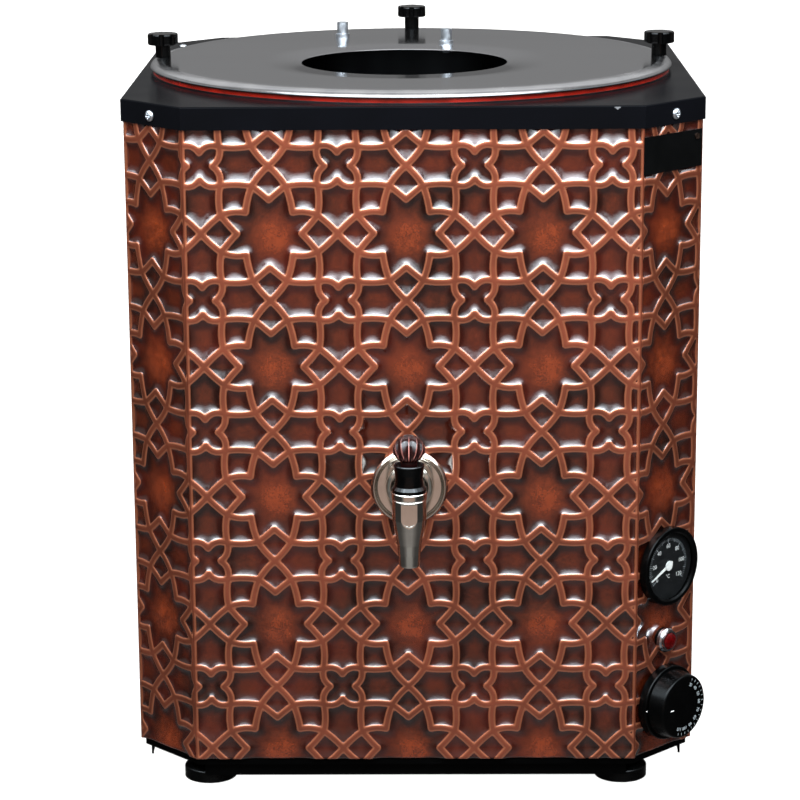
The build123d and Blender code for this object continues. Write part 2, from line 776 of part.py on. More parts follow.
    spring_bottom = seat + cup_height + spring_wire_radius
    spring_height = web_bottom - spring_wire_radius - spring_bottom
    coil = Helix(spring_height / spring_turns, spring_height, spring_mean_radius)
    coil = Pos(0, 0, spring_bottom) * coil
    section = Plane(origin=coil @ 0, z_dir=coil % 0) * Circle(spring_wire_radius)
    parts["tap_spring"] = place * sweep(section, path=coil, is_frenet=True)


def make_thermometer():
    """The capillary thermometer: case, bezel, dial, glass, pointer, and its bulb."""
    place = corner_place(thermometer_along, thermometer_height)
    case = disc(thermometer_cup_radius, -thermometer_depth, 0)
    case += disc(thermometer_radius, 0, thermometer_flange)
    case -= disc(thermometer_cup_radius - thermometer_wall, -thermometer_depth + 2, dial_level)
    glass_radius = thermometer_window_radius + 1.5
    case -= disc(glass_radius, dial_level, thermometer_flange)
    bezel = disc(thermometer_radius, thermometer_flange, thermometer_bezel_top)
    bezel = fillet(circular_edges(bezel, thermometer_radius, thermometer_bezel_top), 1.5)
    bezel -= disc(thermometer_window_radius, thermometer_flange, thermometer_bezel_top)
    glass_top = thermometer_flange + glass_thickness
    glass_seat = glass_radius + 0.6
    bezel -= disc(glass_seat, thermometer_flange, glass_top)
    glass = disc(glass_seat - 0.2, thermometer_flange, glass_top)
    dial_top = dial_level + dial_thickness
    dial = disc(glass_radius - 0.2, dial_level, dial_top)
    dial -= disc(pointer_spindle_radius + running_gap, dial_level, dial_top)
    pointer_bottom = dial_top + seat_gap
    blade = Polyline(
        (-pointer_tail, -1.0), (0, -1.3), (pointer_length, -0.35), (pointer_length, 0.35),
        (0, 1.3), (-pointer_tail, 1.0), close=True,
    )
    pointer = Pos(0, 0, pointer_bottom) * extrude(make_face(blade), pointer_thickness)
    pointer += disc(pointer_hub_radius, pointer_bottom, pointer_bottom + pointer_thickness + 0.4)
    pointer += disc(pointer_spindle_radius, dial_level - 4, pointer_bottom)
    parts["thermometer_case"] = place * (case + bezel_ledge(glass_radius, dial_level))
    parts["thermometer_bezel"] = place * bezel
    parts["thermometer_dial"] = place * dial
    parts["thermometer_glass"] = place * glass
    parts["thermometer_pointer"] = place * Rot(0, 0, pointer_rest_angle) * pointer
    back = corner_place(thermometer_along, thermometer_height, -thermometer_depth)
    parts["thermometer_sensor"] = sensor(back.position, bulb_y, 0.0)


def bezel_ledge(radius, level):
    """The narrow ledge in the case that carries the dial."""
    inside = thermometer_cup_radius - thermometer_wall
    return ring(radius, inside - 2, level - 1, level)


def sensor(start, y, drop):
    """A bulb against the tank's underside and the capillary that leads to it."""
    level = tank_underside - bulb_radius
    bulb_end = bulb_x + bulb_length / 2
    bulb = Pos(bulb_x, y, level) * Rot(0, 90, 0) * Cylinder(bulb_radius, bulb_length)
    away = Vector(-sqrt(0.5), sqrt(0.5), 0)
    climb = Vector(0, 0, (level - start.Z) / 2 - drop)
    loop_x = bulb_end + capillary_loop_length
    points = [
        start,
        start + away * capillary_lead,
        start + away * capillary_run + climb,
        Vector(loop_x, y - capillary_loop_side, level - capillary_loop_drop),
        Vector(bulb_end + capillary_entry, y, level),
        Vector(bulb_end, y, level),
    ]
    return bulb + tube_along(points, capillary_bend, capillary_radius)


def make_lamp():
    """The pilot lamp: bezel, lens and the body behind the panel."""
    place = corner_place(lamp_along, lamp_height)
    bezel = disc(lamp_bezel_radius, 0, lamp_bezel_height)
    bezel = chamfer(circular_edges(bezel, lamp_bezel_radius, lamp_bezel_height), 0.9)
    bezel += disc(lamp_collar_radius, lamp_bezel_height, lamp_collar_height)
    bezel -= disc(lamp_lens_radius + 0.2, 0, lamp_collar_height)
    lens_bottom = lamp_bezel_height - 1.5
    lens = turned([
        (0, lens_bottom), (lamp_lens_radius, lens_bottom), (lamp_lens_radius, lamp_collar_height),
        (lamp_lens_radius * 0.55, lamp_lens_top), (0, lamp_lens_top),
    ])
    body = disc(lamp_body_radius, -lamp_body_depth, lens_bottom)
    clip_top = -panel_sheet
    body += disc(lamp_bezel_radius, clip_top - 3, clip_top)
    for side in (-1, 1):
        tab_bottom = -lamp_body_depth - 8
        body += box(0.8, 4.8, tab_bottom, -lamp_body_depth, side * 3.0)
    parts["pilot_lamp_bezel"] = place * bezel
    parts["pilot_lamp_lens"] = place * lens
    parts["pilot_lamp_body"] = place * body


def make_thermostat():
    """The thermostat: body, shaft, fixed ring, knob, and its bulb."""
    place = corner_place(thermostat_along, thermostat_height)
    size = thermostat_body_size
    back = -panel_wall - thermostat_body_depth
    body = box(size, size, back, -panel_wall)
    body = fillet(body.edges().filter_by(Axis.Z), 3.0)
    body += disc(thermostat_bush_radius, -panel_wall, thermostat_bush_height)
    shaft_end = thermostat_bush_height - thermostat_shaft_depth
    shaft_bore = thermostat_shaft_radius + running_gap
    body -= disc(shaft_bore, shaft_end - seat_gap, thermostat_bush_height)
    dial_ring = disc(thermostat_ring_radius, 0, thermostat_ring_height)
    rims = circular_edges(dial_ring, thermostat_ring_radius, thermostat_ring_height)
    dial_ring = fillet(rims, 1.2)
    dial_ring -= disc(thermostat_bush_radius + hole_gap, 0, thermostat_ring_height)

    knob_bottom = thermostat_ring_height + seat_gap
    knob_top = knob_bottom + thermostat_knob_height
    knob = turned([
        (0, knob_bottom), (thermostat_knob_radius, knob_bottom),
        (thermostat_knob_face_radius, knob_top), (0, knob_top),
    ])
    rims = circular_edges(knob, thermostat_knob_face_radius, knob_top)
    knob = fillet(rims, thermostat_knob_edge)
    shaft_top = knob_top - 4
    hollow = ring(thermostat_knob_face_radius - 3, 7, knob_bottom, knob_top - 3)
    knob = knob - hollow - disc(thermostat_shaft_radius, knob_bottom, shaft_top)
    parts["thermostat_body"] = place * body
    parts["thermostat_ring"] = place * dial_ring
    parts["thermostat_knob"] = place * knob
    parts["thermostat_shaft"] = place * disc(thermostat_shaft_radius, shaft_end, shaft_top)
    start = corner_place(thermostat_along, thermostat_height, back).position
    parts["thermostat_sensor"] = sensor(start, -bulb_y, thermostat_capillary_drop)


def make_heater():
    """The immersion heater under the tank with its flange, seal, nuts and overheat cut-out."""
    flange_top_level = tank_underside - heater_seal_thickness
    flange_bottom = flange_top_level - heater_flange_thickness
    leg_end = flange_bottom - heater_leg_below_flange
    level = tank_floor + heater_rise
    half_leg = heater_leg_spacing / 2
    half = heater_half_width
    left_leg = tank_x - half_leg
    right_leg = tank_x + half_leg
    points = [
        (left_leg, 0, leg_end), (left_leg, 0, level), (left_leg, half, level),
        (tank_x - half, half, level), (tank_x - half, -half, level),
        (tank_x + half, -half, level), (tank_x + half, half, level),
        (right_leg, half, level), (right_leg, 0, level), (right_leg, 0, leg_end),
    ]
    small = heater_inner_bend
    large = heater_outer_bend
    radii = [small, small, large, large, large, large, small, small]
    heater = tube_along(points, radii, heater_tube_radius)
    flange = disc(heater_flange_radius, flange_bottom, flange_top_level, tank_x)
    seal = disc(heater_flange_radius, flange_top_level, tank_underside, tank_x)
    leg_hole = heater_tube_radius + screw_hole_gap
    for x in (left_leg, right_leg):
        pin_end = leg_end - heater_pin_length
        heater += disc(heater_pin_radius, pin_end, leg_end, x)
        flange -= disc(leg_hole, flange_bottom, flange_top_level, x)
        seal -= disc(leg_hole, flange_top_level, tank_underside, x)
    nuts = []
    stud_hole = heater_stud_radius + screw_hole_gap
    for x, y in heater_stud_places():
        flange -= disc(stud_hole, flange_bottom, flange_top_level, x, y)
        seal -= disc(stud_hole, flange_top_level, tank_underside, x, y)
        nut_bottom = flange_bottom - heater_nut_height
        nuts.append(nut(heater_nut_flats, stud_hole, nut_bottom, flange_bottom, x, y))
    parts["heater_element"] = heater
    parts["heater_flange"] = flange
    parts["heater_seal"] = seal
    parts["heater_nuts"] = Compound(nuts)

    x, y = cutout_place
    cutout_bottom = tank_underside - cutout_height
    cutout = disc(cutout_radius, cutout_bottom, tank_underside, x, y)
    for side in (-1, 1):
        cutout += box(0.8, 6.3, cutout_bottom - 8, cutout_bottom, x + side * 4, y)
    parts["heat_cutout"] = cutout


def make_electrics():
    """The terminal block, the wires inside the body and the cable gland."""
    width, depth, height = terminal_block_size
    x, y = terminal_block_place
    block = box(width, depth, base_top, base_top + height, x, y)
    poles = 5
    pitch = width / poles
    for pole in range(poles):
        pole_x = x + (pole - (poles - 1) / 2) * pitch
        hole_bottom = base_top + height - terminal_hole_depth
        block -= disc(pitch * 0.3, hole_bottom, base_top + height, pole_x, y)
    parts["terminal_block"] = block

    flange_bottom = tank_underside - heater_seal_thickness - heater_flange_thickness
    pin_end = flange_bottom - heater_leg_below_flange - heater_pin_length
    start_y = y - depth / 2
    start_z = base_top + height / 2
    wires = []
    for side in (-1, 1):
        end_x = tank_x + side * heater_leg_spacing / 2
        start_x = x + side * pitch
        bend_y = start_y - wire_run + wire_spread * side
        wires.append(tube_along([
            (start_x, start_y, start_z), (start_x, start_y - wire_lead, start_z),
            (start_x - wire_lead, bend_y, start_z + wire_climb),
            (end_x, side * wire_pin_side, pin_end - wire_pin_drop),
            (end_x, 0, pin_end - wire_pin_lead), (end_x, 0, pin_end),
        ], wire_bend, wire_radius))
    inward = Vector(-sqrt(0.5), sqrt(0.5), 0)
    offset = thermostat_terminal_offset
    body_back = corner_place(thermostat_along + offset, thermostat_height + offset,
                             -panel_wall - thermostat_body_depth).position
    start_x = x + 2 * pitch
    wires.append(tube_along([
        (start_x, start_y, start_z), (start_x, start_y - thermostat_wire_lead, start_z),
        Vector(start_x, start_y - thermostat_wire_run, start_z + thermostat_wire_climb),
        body_back + inward * thermostat_wire_end, body_back,
    ], wire_bend, wire_radius))
    parts["internal_wiring"] = Compound(wires)

    gland_place = back_place(gland_x, gland_height, panel_half)
    gland = disc(gland_thread_radius, -gland_thread_length, 0)
    gland += extrude(RegularPolygon(gland_hex_flats / sqrt(3), 6), gland_hex_height)
    cap_top = gland_hex_height + gland_cap_height
    gland += disc(gland_cap_radius, gland_hex_height, cap_top)
    gland = fillet(circular_edges(gland, gland_cap_radius, cap_top), 4.0)
    nut_top = -panel_sheet
    gland_nut = nut(gland_hex_flats, gland_thread_radius, nut_top - 4, nut_top)
    gland = gland + gland_nut - disc(gland_bore_radius, -gland_thread_length, cap_top)
    parts["cable_gland"] = gland_place * gland


def origin_shift():
    """The centre of the whole object's outline in plan, so that the origin lies below it."""
    slant = sqrt(0.5)
    knob_top = thermostat_ring_height + seat_gap + thermostat_knob_height
    corner_middle = panel_half - panel_leg / 2
    knob_reach = thermostat_along + knob_top + thermostat_knob_face_radius
    right = corner_middle + slant * knob_reach
    front = tap_y - collar_radius
    back = panel_half + gland_hex_height + gland_cap_height
    return (right - tray_half) / 2, (front + back) / 2


def main():
    """Makes every piece, moves it to the origin and writes its file."""
    make_base()
    make_casing()
    make_tank()
    make_lid()
    make_tap()
    make_thermometer()
    make_lamp()
    make_thermostat()
    make_heater()
    make_electrics()
    os.makedirs("parts", exist_ok=True)
    shift_x, shift_y = origin_shift()
    for name, shape in parts.items():
        export_step(Pos(-shift_x, -shift_y, 0) * shape, "parts/" + name + ".step")
        print(name, round(shape.volume))
    print("nodes", len(parts), "origin shift", round(shift_x, 3), round(shift_y, 3))


main()
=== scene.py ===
"""The looks of an electric tea maker: an embossed copper casing, a clamped lid and a lever tap.

Sizes are in millimetres about the casing's own upright axis, with the standing surface at zero,
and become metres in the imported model's frame when a mesh is made.
"""

import logging
import math
from dataclasses import dataclass, field
from enum import Enum
from typing import Sequence

import bpy
import numpy as np
from mathutils import Matrix, Vector

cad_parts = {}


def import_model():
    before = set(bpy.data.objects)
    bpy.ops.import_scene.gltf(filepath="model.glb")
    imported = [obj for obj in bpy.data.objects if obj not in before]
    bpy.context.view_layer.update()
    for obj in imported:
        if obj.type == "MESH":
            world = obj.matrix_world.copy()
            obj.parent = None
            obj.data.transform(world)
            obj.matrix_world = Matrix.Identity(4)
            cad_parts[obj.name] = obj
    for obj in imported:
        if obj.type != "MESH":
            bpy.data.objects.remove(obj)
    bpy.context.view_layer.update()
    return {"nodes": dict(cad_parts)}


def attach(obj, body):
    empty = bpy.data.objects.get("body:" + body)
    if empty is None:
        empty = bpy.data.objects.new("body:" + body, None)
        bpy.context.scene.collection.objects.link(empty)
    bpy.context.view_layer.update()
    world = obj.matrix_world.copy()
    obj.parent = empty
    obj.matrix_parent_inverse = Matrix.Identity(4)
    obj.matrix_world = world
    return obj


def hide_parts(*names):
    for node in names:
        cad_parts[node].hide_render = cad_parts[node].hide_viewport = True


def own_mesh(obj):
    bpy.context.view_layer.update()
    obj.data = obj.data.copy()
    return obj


log = logging.getLogger("tea_maker")
logging.basicConfig(level=logging.INFO, format="%(message)s")

Array = np.ndarray
Piece = bpy.types.Object
Tree = bpy.types.NodeTree
Socket = bpy.types.NodeSocket
Pair = tuple[float, float]
Triple = tuple[float, float, float]
Colour = tuple[float, float, float, float]

# Where the casing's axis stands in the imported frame, in millimetres
AXIS_SHIFT = np.array([-3.394217, 19.0, 0.0])
TRAY_TOP = 522.0
# How far right and forward the middle line of the right front corner face stands
CORNER_MIDDLE = 189.97
DIAGONAL = math.sqrt(0.5)


# ---------------------------------------------------------------- meshes from arrays


def to_scene(points: Array) -> Array:
    """Moves points about the casing's axis, in millimetres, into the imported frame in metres."""
    return (np.asarray(points, float).reshape(-1, 3) + AXIS_SHIFT) / 1000.0


@dataclass(frozen=True)
class Place:
    """A flat place on the object: its origin, the way its x axis runs and the way it faces."""

    origin: Triple = (0.0, 0.0, 0.0)
    along: Triple = (1.0, 0.0, 0.0)
    facing: Triple = (0.0, 0.0, 1.0)

    def carry(self, points: Array) -> Array:
        """Turns local points so that x runs along, z faces out and y completes the set."""
        x, z = np.array(self.along, float), np.array(self.facing, float)
        local = np.asarray(points, float).reshape(-1, 3)
        return np.array(self.origin) + local @ np.vstack([x, np.cross(z, x), z])

    def spot(self, reach: float, turn: float) -> "Place":
        """The same place about the point of its face at reach (cos turn, sin turn)."""
        at = self.carry([[reach * math.cos(turn), reach * math.sin(turn), 0]])[0]
        return Place(tuple(at), self.along, self.facing)


def link_mesh(name: str, points: Array, faces: list, smooth: bool = True) -> Piece:
    """Makes an object at the origin from points in millimetres.

    Args:
        name: the piece's name.
        points: its vertices about the casing's axis.
        faces: rings of vertex numbers, outward by the right-hand rule.
        smooth: whether its faces are shaded smooth.

    Returns:
        The linked object.
    """
    mesh = bpy.data.meshes.new(name)
    mesh.from_pydata(to_scene(points), [], faces)
    mesh.polygons.foreach_set("use_smooth", np.full(len(mesh.polygons), smooth))
    mesh.update()
    piece = bpy.data.objects.new(name, mesh)
    bpy.context.scene.collection.objects.link(piece)
    return piece


def set_values(piece: Piece, **values: Array) -> None:
    """Stores numbers on the piece's first points under each name, and zero on the others."""
    for name, numbers in values.items():
        padded = np.zeros(len(piece.data.vertices), np.float32)
        padded[:numbers.size] = numbers.ravel()
        piece.data.attributes.new(name, "FLOAT", "POINT").data.foreach_set("value", padded)


def grid_faces(rows: int, columns: int, wrap: bool) -> Array:
    """Quads of a grid of rows and columns; with wrap the last column joins the first."""
    last = columns if wrap else columns - 1
    r, c = np.meshgrid(np.arange(rows - 1), np.arange(last), indexing="ij")
    n = (c + 1) % columns
    quads = [r * columns + c, r * columns + n, (r + 1) * columns + n, (r + 1) * columns + c]
    return np.stack(quads, axis=-1).reshape(-1, 4)


def skin(name: str, grid: Array, place: Place = Place(), poles: Sequence[Triple] = (),
         flat: bool = False, flip: bool = False, smooth: bool = True) -> Piece:
    """A closed piece from rings of points.

    Args:
        name: the piece's name.
        grid: the points, ring by ring, each in order round its ring.
        place: where the piece stands.
        poles: the points that close the first and the last ring with fans, if any.
        flat: whether one flat face closes each end; else the last ring joins the first.
        flip: whether the rings run against the right-hand rule.
        smooth: whether its faces are shaded smooth.

    Returns:
        The linked object.
    """
    rows, count = grid.shape[:2]
    points = grid.reshape(-1, 3)
    k = np.arange(count)
    n = (k + 1) % count
    last = (rows - 1) * count
    way = -1 if flip else 1
    faces = grid_faces(rows, count, True)[:, ::way].tolist()
    if len(poles):
        points = np.vstack([points, poles])
        low, high = np.full(count, rows * count), np.full(count, rows * count + 1)
        faces += np.stack([n, k, low], -1)[:, ::way].tolist()
        faces += np.stack([last + k, last + n, high], -1)[:, ::way].tolist()
    elif flat:
        faces += [k[::-way].tolist(), (last + k)[::way].tolist()]
    else:
        faces += np.stack([last + k, last + n, n, k], -1)[:, ::way].tolist()
    return link_mesh(name, place.carry(points), faces, smooth)


def circle(count: int) -> Array:
    """Even angles round a full turn."""
    return np.linspace(0, 2 * math.pi, count, endpoint=False)


def turned(radius: Array, level: Array | float, count: int) -> Array:
    """Rings of points (radius cos a, radius sin a, level) at even angles a."""
    a = circle(count)
    return np.stack(np.broadcast_arrays(radius * np.cos(a), radius * np.sin(a), level), -1)


def lathe(name: str, outline: Array, place: Place, segments: int) -> Piece:
    """A turned piece: an outline from the axis to the axis, or a closed one round a bore.

    Args:
        name: the piece's name.
        outline: radius and level from the bottom middle round the outside to the top middle.
        place: where the turning axis stands.
        segments: steps round the axis.

    Returns:
        The linked object.
    """
    solid = outline[0, 0] < 1e-6
    poles = [(0.0, 0.0, level) for level in outline[[0, -1], 1]] if solid else ()
    body = outline[1:-1] if solid else outline
    return skin(name, turned(body[:, :1], body[:, 1:], segments), place, poles)


def bow(start: Array, pull: Array, end: Array, steps: int) -> Array:
    """Points of the curve (1 - t)^2 start + 2 t (1 - t) pull + t^2 end."""
    t = np.linspace(0, 1, steps)[:, None]
    return (1 - t) ** 2 * start + 2 * t * (1 - t) * pull + t**2 * end


def rounded(corners: Sequence[Triple], steps: int = 5) -> Array:
    """An open outline of radius and level whose inner corners are rounded.

    Each corner is cut back along both its runs by radius x tan(turn / 2), and a bow pulled to
    the corner joins the two ends, with a close point beyond each end so that flat runs stay
    flat when shaded.

    Args:
        corners: radius, level and rounding of each corner; the ends take none.
        steps: points on each rounding.

    Returns:
        An array of radius and level.
    """
    raw = np.array(corners, float)
    line = [raw[:1, :2]]
    for before, middle, after in zip(raw[:-2, :2], raw[1:-1], raw[2:, :2]):
        here, size = middle[:2], middle[2]
        if size <= 0:
            line.append(here[None])
            continue
        runs = [np.linalg.norm(before - here), np.linalg.norm(after - here)]
        back, ahead = (before - here) / runs[0], (after - here) / runs[1]
        turn = math.pi - math.acos(float(np.clip(back @ ahead, -1, 1)))
        cut = min(size * math.tan(turn / 2), 0.45 * min(runs))
        start, end, edge = here + back * cut, here + ahead * cut, 0.12 * cut
        line += [(start + back * edge)[None], bow(start, here, end, steps),
                 (end + ahead * edge)[None]]
    line.append(raw[-1:, :2])
    return np.vstack(line)


def lettering(name: str, text: str, size: float, place: Place, depth: float,
              turn: float = 0.0) -> Piece:
    """Raised print: a text turned into a mesh and set on a place.

    Args:
        name: the piece's name.
        text: what it says.
        size: the height of its letters' body.
        place: the face that it is printed on, with its middle at the text's middle.
        depth: how thick the print is.
        turn: how far the text is turned on the face, in radians.

    Returns:
        The linked object.
    """
    curve = bpy.data.curves.new(name, "FONT")
    curve.body, curve.size, curve.extrude = text, size, depth / 2
    curve.align_x = curve.align_y = "CENTER"
    curve.resolution_u = 3
    holder = bpy.data.objects.new(name + "_curve", curve)
    bpy.context.scene.collection.objects.link(holder)
    bpy.context.view_layer.update()
    graph = bpy.context.evaluated_depsgraph_get()
    mesh = bpy.data.meshes.new_from_object(holder.evaluated_get(graph))
    bpy.data.objects.remove(holder)
    bpy.data.curves.remove(curve)
    local = np.empty(len(mesh.vertices) * 3)
    mesh.vertices.foreach_get("co", local)
    c, s = math.cos(turn), math.sin(turn)
    spin = np.array([[c, s, 0], [-s, c, 0], [0, 0, 1]])
    moved = place.carry(local.reshape(-1, 3) @ spin + [0, 0, depth / 2])
    mesh.vertices.foreach_set("co", to_scene(moved).ravel())
    mesh.name = name
    mesh.update()
    piece = bpy.data.objects.new(name, mesh)
    bpy.context.scene.collection.objects.link(piece)
    return piece


def strokes(name: str, place: Place, angles: Array, inner: Array | float, outer: float,
            width: Array | float, base: float, depth: float) -> Piece:
    """Printed marks along radii: one thin closed block for each angle.

    A corner of a mark lies at along x (cos a, sin a) + across x (-sin a, cos a), with along
    its inner or outer radius and across half its width to either side.

    Args:
        name: the piece's name.
        place: the dial's middle.
        angles: the marks' angles in radians.
        inner: where they begin, from the middle.
        outer: where they end.
        width: how wide they are.
        base: the level of the face under the print.
        depth: how thick the print is.

    Returns:
        The linked object.
    """
    a, r0, r1, w = np.broadcast_arrays(angles, inner, outer, np.asarray(width) / 2)
    radial = np.stack([np.cos(a), np.sin(a)], -1)
    across = np.stack([-np.sin(a), np.cos(a)], -1)
    ring = [radial * r[:, None] + across * (k * w)[:, None]
            for r, k in ((r0, -1), (r1, -1), (r1, 1), (r0, 1))]
    flat = np.stack(ring, 1)
    sides = [np.concatenate([flat, np.full(flat.shape[:2] + (1,), level)], 2)
             for level in (base, base + depth)]
    points = np.concatenate(sides, 1).reshape(-1, 3)
    block = np.array([(4, 5, 6, 7), (3, 2, 1, 0), (0, 1, 5, 4), (1, 2, 6, 5), (2, 3, 7, 6),
                      (3, 0, 4, 7)])
    faces = (block[None] + 8 * np.arange(len(a))[:, None, None]).reshape(-1, 4)
    return link_mesh(name, place.carry(points), faces.tolist(), smooth=False)


# ---------------------------------------------------------------- finishes


def hex_colour(value: str) -> Colour:
    """Turns an sRGB hex value such as "B5683F" into linear colour with full alpha."""
    parts = [int(value[i:i + 2], 16) / 255 for i in (0, 2, 4)]
    linear = [p / 12.92 if p <= 0.04045 else ((p + 0.055) / 1.055) ** 2.4 for p in parts]
    return (linear[0], linear[1], linear[2], 1.0)


def add_node(tree: Tree, kind: str, values: dict | None = None) -> bpy.types.Node:
    """Adds a node and fills it in.

    Args:
        tree: the material's nodes.
        kind: the node's type name after "ShaderNode".
        values: by property name, or by input name or number; a socket is linked.

    Returns:
        The new node.
    """
    node = tree.nodes.new("ShaderNode" + kind)
    for key, value in (values or {}).items():
        if isinstance(value, Socket):
            tree.links.new(value, node.inputs[key])
        elif isinstance(key, str) and hasattr(node, key):
            setattr(node, key, value)
        else:
            node.inputs[key].default_value = value
    return node


def ramp(tree: Tree, source: Socket, stops: Sequence[tuple[float, Colour | float]]) -> Socket:
    """Adds a colour ramp with the given stops and returns its colour output."""
    node = add_node(tree, "ValToRGB", {"Fac": source})
    elements = node.color_ramp.elements
    while len(elements) < len(stops):
        elements.new(0.5)
    for element, (position, value) in zip(elements, stops):
        element.position = position
        element.color = value if isinstance(value, tuple) else (value, value, value, 1.0)
    return node.outputs["Color"]


def mix(tree: Tree, share: Socket | float, low: Socket, high: Socket | Colour,
        blend: str = "MIX") -> Socket:
    """Mixes two colours by a share of the second."""
    return add_node(tree, "Mix", {"data_type": "RGBA", "blend_type": blend, 0: share, 6: low,
                                  7: high}).outputs[2]


def spread(tree: Tree, value: Socket, low: float, high: float, start: float = 0.0,
           end: float = 1.0) -> Socket:
    """Maps a value that runs from start to end onto low to high."""
    return add_node(tree, "MapRange", {"From Min": start, "From Max": end, "To Min": low,
                                       "To Max": high, "Value": value}).outputs["Result"]


def combine(tree: Tree, operation: str, *values: Socket) -> Socket:
    """Does a sum with one or two values."""
    return add_node(tree, "Math", {"operation": operation, **dict(enumerate(values))}).outputs[0]


def noise(tree: Tree, where: Socket, size_mm: float, detail: float = 2.0) -> Socket:
    """A noise whose blobs are about the given size."""
    return add_node(tree, "TexNoise", {"Scale": 1000.0 / size_mm, "Detail": detail,
                                       "Vector": where}).outputs["Fac"]


def stored(tree: Tree, name: str) -> Socket:
    """The numbers that the piece keeps on its points under a name."""
    return add_node(tree, "Attribute", {"attribute_name": name}).outputs["Fac"]


def bump(tree: Tree, height: Socket, strength: float, depth_mm: float,
         **normal: Socket) -> Socket:
    """Bends the normal, or the one given, by a height field of the given depth."""
    return add_node(tree, "Bump", {"Strength": strength, "Distance": depth_mm / 1000,
                                   "Height": height, **normal}).outputs["Normal"]


@dataclass(frozen=True)
class Finish:
    """A surface finish: an even base with fine unevenness in its gloss and height.

    The colour and the roughness drift between two close values in patches of a size, and a
    grain of a size and a height lifts the surface.
    """

    name: str
    light: str
    dark: str
    rough: Pair
    patch_mm: float = 20.0
    grain_mm: Pair = (0.5, 0.0)
    metallic: float = 0.0
    ior: float = 1.5
    stretch: Triple = (1.0, 1.0, 1.0)
    coat: Pair = (0.0, 0.05)
    alpha: float = 1.0

    def colour(self, tree: Tree, patches: Socket) -> Socket:
        """The base colour, between the dark and the light tone."""
        return ramp(tree, patches, [(0.3, hex_colour(self.dark)), (0.7, hex_colour(self.light))])

    def shader(self, tree: Tree, where: Socket) -> dict:
        """What the shader takes, by the names of its inputs, at an object coordinate."""
        patches = noise(tree, where, self.patch_mm)
        values = {"Metallic": self.metallic, "IOR": self.ior, "Alpha": self.alpha,
                  "Coat Weight": self.coat[0], "Coat Roughness": self.coat[1],
                  "Base Color": self.colour(tree, patches),
                  "Roughness": spread(tree, patches, *self.rough, 0.3, 0.7)}
        size, height = self.grain_mm
        if height > 0:
            values["Normal"] = bump(tree, noise(tree, where, size, 3.0), 1.0, height)
        return values

    def make(self) -> bpy.types.Material:
        """Builds the material once and returns it.

        Its patterns lie on object coordinates, squeezed along the axes that they are drawn
        out on.
        """
        material = bpy.data.materials.get(self.name)
        if material is None:
            material = bpy.data.materials.new(self.name)
            material.use_nodes = True
            tree = material.node_tree
            tree.nodes.clear()
            place = add_node(tree, "TexCoord").outputs["Object"]
            where = add_node(tree, "Mapping", {"Scale": self.stretch, "Vector": place})
            shader = add_node(tree, "BsdfPrincipled",
                              self.shader(tree, where.outputs["Vector"]))
            add_node(tree, "OutputMaterial", {"Surface": shader.outputs["BSDF"]})
        return material


@dataclass(frozen=True)
class Metal(Finish):
    """A bare, plated or heat-tinted metal."""

    metallic: float = 1.0


@dataclass(frozen=True)
class AntiqueCopper(Finish):
    """Copper-plated sheet, embossed, darkened with patina, rubbed back and lacquered.

    The ribs are rubbed back to satin copper, with a painted highlight along both their
    shoulders. The slopes and cells keep the dark brown patina under a clear lacquer with soft
    white highlights, and the middles of the wide cells turn to light copper: partly rubbed
    copper, partly a painted reflection, set down and right in the stars.
    """

    # painted highlight: the lighter tone along the ribs' shoulders
    shoulder: str = "B06848"
    patina: str = "180502"
    patina_warm: str = "330A03"
    # light copper of the cells' middles: partly rubbed copper, partly painted reflection
    middle: str = "68270E"
    patina_metallic: float = 0.3
    coat_ior: float = 1.6
    rib_reach: float = 4.7

    def shader(self, tree: Tree, where: Socket) -> dict:
        """The copper, laid out by the panel's own numbers.

        "away" is the distance from the nearest rib's middle line in millimetres, and
        "middle" is one in the middles of the wide cells, where it paints light copper that is
        partly rubbed copper and partly a painted reflection.
        """
        patches, mottle = noise(tree, where, 35.0, 3.0), noise(tree, where, 6.5, 6.0)
        specks, dents = noise(tree, where, 1.3, 3.0), noise(tree, where, 7.0)
        reach = spread(tree, stored(tree, "away"), 0.0, 1.0, 0.0, self.rib_reach)
        rib = ramp(tree, reach, [(0.47, 1.0), (0.62, 0.0)])
        # painted highlight: share of the lighter shoulder tone along the ribs' edges
        shoulder_highlight_share = ramp(tree, reach, [(0.22, 0.0), (0.36, 0.75), (0.46, 1.0), (0.56, 0.2)])
        rib_tone = ramp(tree, patches, [(0.32, hex_colour(self.dark)),
                                        (0.68, hex_colour(self.light))])
        rib_tone = mix(tree, shoulder_highlight_share, rib_tone, hex_colour(self.shoulder))
        patina_tone = ramp(tree, patches, [(0.35, hex_colour(self.patina)),
                                           (0.7, hex_colour(self.patina_warm))])
        worn = spread(tree, combine(tree, "ADD", mottle, specks), 0.4, 1.0, 0.8, 1.2)
        # light copper in the cells' middles: partly rubbed copper, partly painted reflection
        wear_and_reflection = combine(tree, "MULTIPLY", worn, stored(tree, "middle"))
        floor_tone = mix(tree, wear_and_reflection, patina_tone, hex_colour(self.middle))
        shoulders = ramp(tree, reach, [(0.0, 0.5), (0.27, 0.58), (0.41, 1.0), (0.49, 0.85),
                                       (0.64, 0.1), (0.78, 0.0)])
        edge = bump(tree, shoulders, 1.0, 0.18, Normal=bump(tree, dents, 0.5, 0.4))
        return {"Specular IOR Level": 0.15, "Coat Weight": self.coat[0],
                "Coat Roughness": self.coat[1], "Coat IOR": self.coat_ior,
                "Base Color": mix(tree, rib, floor_tone, rib_tone),
                "Roughness": spread(tree, rib, *self.rough),
                "Metallic": spread(tree, rib, self.patina_metallic, self.metallic),
                "Normal": bump(tree, specks, 0.3, 0.05, Normal=edge), "Coat Normal": edge}


